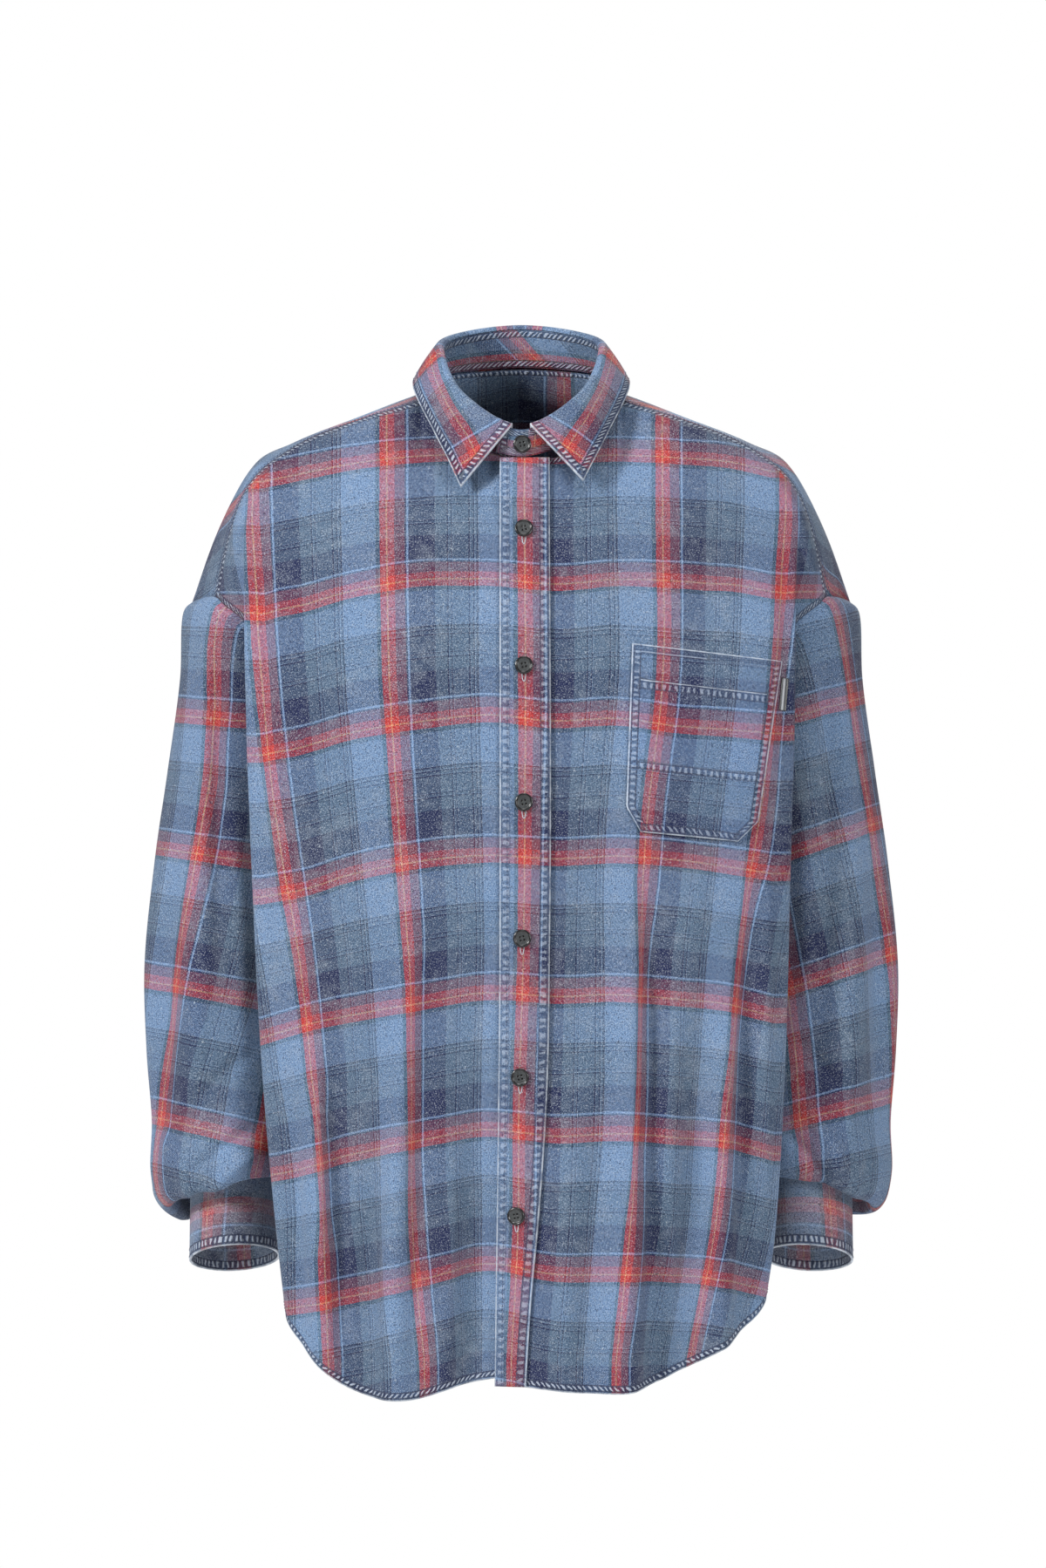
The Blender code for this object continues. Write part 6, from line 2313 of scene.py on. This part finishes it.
@dataclass(frozen=True)
class Studio:
    """A pale floor, soft lights and a white world."""

    floor_height: float = -1.1
    floor_half: float = 1.45
    sky_light: float = 0.17
    lights: Tuple[Light, ...] = (
        Light("key", (-3.0, -2.4, 1.4), -0.4, 0.9, 181.0),
        Light("fill", (2.6, -2.8, 0.3), -0.4, 1.4, 72.0),
        Light("top", (0.2, -1.2, 3.0), -0.4, 1.2, 42.0),
        Light("back", (0.6, 3.2, 1.6), -0.3, 2.0, 110.0),
    )

    def build(self) -> None:
        """Makes the floor, the lights and the world."""
        half, height = self.floor_half, self.floor_height
        mesh = bpy.data.meshes.new("floor")
        mesh.from_pydata([(-half, -half, height), (half, -half, height), (half, half, height),
                          (-half, half, height)], [], [(0, 1, 2, 3)])
        mesh.materials.append(PaleFloor().make())
        floor = linked("floor", mesh)
        for light in self.lights:
            light.add()
        self.add_world()

    def add_world(self) -> None:
        """Makes the world: white to the camera, and sky_light as strong on the shirt."""
        world = bpy.data.worlds.new("studio")
        world.use_nodes = True
        tree = world.node_tree
        shader = tree.nodes["Background"]
        shader.inputs["Color"].default_value = (1.0, 1.0, 1.0, 1.0)
        path = tree.nodes.new("ShaderNodeLightPath")
        strength = tree.nodes.new("ShaderNodeMapRange")
        strength.inputs["To Min"].default_value = self.sky_light
        strength.inputs["To Max"].default_value = 1.0
        tree.links.new(path.outputs["Is Camera Ray"], strength.inputs["Value"])
        tree.links.new(strength.outputs["Result"], shader.inputs["Strength"])
        bpy.context.scene.world = world
        bpy.context.scene.view_settings.view_transform = "Standard"


# ================================================================ the shirt
PANELS = ("front_right", "front_left")
CUFFS = ("cuff_right", "cuff_left")
STITCH_ROWS = (
    # pieces, edges, distances from the edge, the shares of the edge where they start and end
    (PANELS + ("back",), (Edge.BOTTOM,), (0.0065,), 0.0, 1.0),
    (PANELS, (Edge.RIGHT,), (0.002,), 0.0, 0.44),
    (("yoke",), (Edge.TOP,), (0.002, 0.0078), 0.0, 0.36),
    (("yoke",), (Edge.TOP,), (0.002, 0.0078), 0.64, 1.0),
    (("yoke",), (Edge.BOTTOM,), (0.002, 0.0078), 0.0, 1.0),
    (("placket",), (Edge.LEFT,), (0.006,), 0.0, 1.0),
    (("placket",), (Edge.RIGHT,), (0.0018, 0.008), 0.0, 1.0),
    (("leaf",), (Edge.BOTTOM,), (0.002, 0.0074), 0.0, 1.0),
    (("leaf",), (Edge.LEFT, Edge.RIGHT), (0.002,), 0.28, 1.0),
    (("stand",), (Edge.BOTTOM,), (0.002,), 0.0, 1.0),
    (("pocket",), (Edge.TOP,), (0.035, 0.093, 0.0985), 0.0, 1.0),
    (("pocket",), (Edge.LEFT, Edge.RIGHT, Edge.BOTTOM), (0.0018, 0.007), 0.0, 1.0),
    (CUFFS, (Edge.BOTTOM,), (0.0022, 0.008), 0.0, 1.0),
    (CUFFS, (Edge.TOP,), (0.0022,), 0.0, 1.0),
)


@dataclass
class Shirt:
    """The whole shirt: its sub-assemblies, their stitching and its buttons.

    Attributes:
        hole_height, hole_width: half the height and half the width of a buttonhole.
        hole_drop: how far its middle is below its button's.
        hole_lift: how far its thread is above the placket's middle.
        hole_turns: how many points its outline has.
        hole_power: how pointed its ends are.
    """

    hole_height: float = 0.0094
    hole_width: float = 0.0016
    hole_drop: float = 0.003
    hole_lift: float = 0.001
    hole_turns: int = 61
    hole_power: float = 0.8
    cloths: Dict[str, Cloth] = field(default_factory=dict)

    def build(self) -> None:
        """Builds the cloth, then what is sewn to it."""
        twill = CheckedTwill("checked_twill", rows=(0.002, 0.006), bar_pitch=0.0042,
                             bar_slant=0.9, pucker=1.0).make()
        banded = CheckedTwill("banded_twill", rows=(0.0024, 0.0074), wear=1.1).make()
        # the cuffs' twill is paler from a raised wash: partly the cuffs' real fading, partly
        # painted light lifting them out of the sleeves' shadow
        washed_and_painted_light_cuffing = CheckedTwill("cuff_twill", rows=(0.0024, 0.008), wash_and_painted_lift=0.44, wear=1.2).make()
        strip = CheckedTwill("placket_twill", rows=(0.0022, 0.0078), bar_pitch=0.0066,
                             pucker=0.45, wear=0.8).make()
        patch = CheckedTwill("pocket_twill", rows=(0.002, 0.007), bar_pitch=0.005,
                             tone=(0.94, 0.96, 1.0), pucker=0.55).make()
        self.add(Body(twill), Collar(banded), Placket(strip))
        self.add(Pocket(patch, self.cloths["front_left"]),
                 *(Sleeve(twill, side, SLEEVE_LOOKS[side], washed_and_painted_light_cuffing) for side in Side))
        self.sew()
        self.button()
        Tab(BrushedSteel().make(), ButtonResin("black_edging").make(),
            self.cloths["front_left"]).build()

    def add(self, *parts: Sewn) -> None:
        """Builds sub-assemblies and keeps their pieces."""
        for part in parts:
            part.build()
            self.cloths.update(part.cloths)

    def sew(self) -> None:
        """Sews every row of stitches that shows."""
        navy = Thread("navy_thread", shade(26, 32, 58), shade(64, 74, 108)).make()
        stitches = Stitching(navy)
        for names, edges, distances, first, last in STITCH_ROWS:
            for name in names:
                for edge in edges:
                    for distance in distances:
                        stitches.sew(self.cloths[name], StitchRow(edge, distance, first, last))
        stitches.build("navy_topstitching")

    def button(self) -> None:
        """Puts the buttons on the stand, placket and cuffs."""
        dish = ButtonResin("dish_resin", shade(34, 36, 37), shade(62, 66, 68), 0.4)
        buttons = Buttons(ButtonResin().make(), dish.make())
        places = [("stand", buttons.stand_place)]
        places += [("placket", place) for place in buttons.front_places]
        for number, (name, place) in enumerate(places, start=1):
            cloth = self.cloths[name]
            buttons.place(*cast_frame(cloth, place), cloth.wall, "button_%d" % number)
        buttons.thread_lift += buttons.cuff_lift
        for side in Side:
            cuff = self.cloths["cuff_" + side.word]
            rows, count = cuff.net.shape[:2]
            place = rows // 2, int(round((np.pi - buttons.cuff_angle) / FULL_TURN * (count - 1)))
            buttons.place(cuff.net[place], cuff.normals()[place], cuff.wall,
                          "cuff_button_" + side.word)
        self.buttonholes(buttons.front_places)

    def buttonholes(self, places: Table) -> None:
        """Works a pale buttonhole behind each of the placket's buttons, its end below it.

        Its outline is a lens, half width w * |sin(t)|^0.8 at the turn t, narrow at both ends.

        Args:
            places: x and z of the buttons.
        """
        pale = Thread("buttonhole_thread", shade(150, 158, 172), shade(206, 212, 220)).make()
        rows = Stitching(pale, pitch=0.00085, share=1.5, radius=0.00036)
        turn = np.linspace(0.0, FULL_TURN, self.hole_turns)[:, None]
        across = self.hole_width * np.sign(np.sin(turn)) * np.abs(np.sin(turn)) ** self.hole_power
        for place in places:
            point, normal = cast_frame(self.cloths["placket"], place)
            side, up, _ = upright(normal)
            middle = point + normal * self.hole_lift - up * self.hole_drop
            line = middle + side * across + up * self.hole_height * np.cos(turn)
            rows.sew_line(line, np.repeat(normal[None], len(line), axis=0))
        rows.build("buttonhole_stitches")


def main() -> None:
    """Builds every piece of the shirt, then the studio."""
    logging.basicConfig(level=logging.INFO, format="%(name)s %(message)s")
    CAMERA.place()
    Shirt().build()
    Studio().build()


if __name__ == "__main__":
    main()
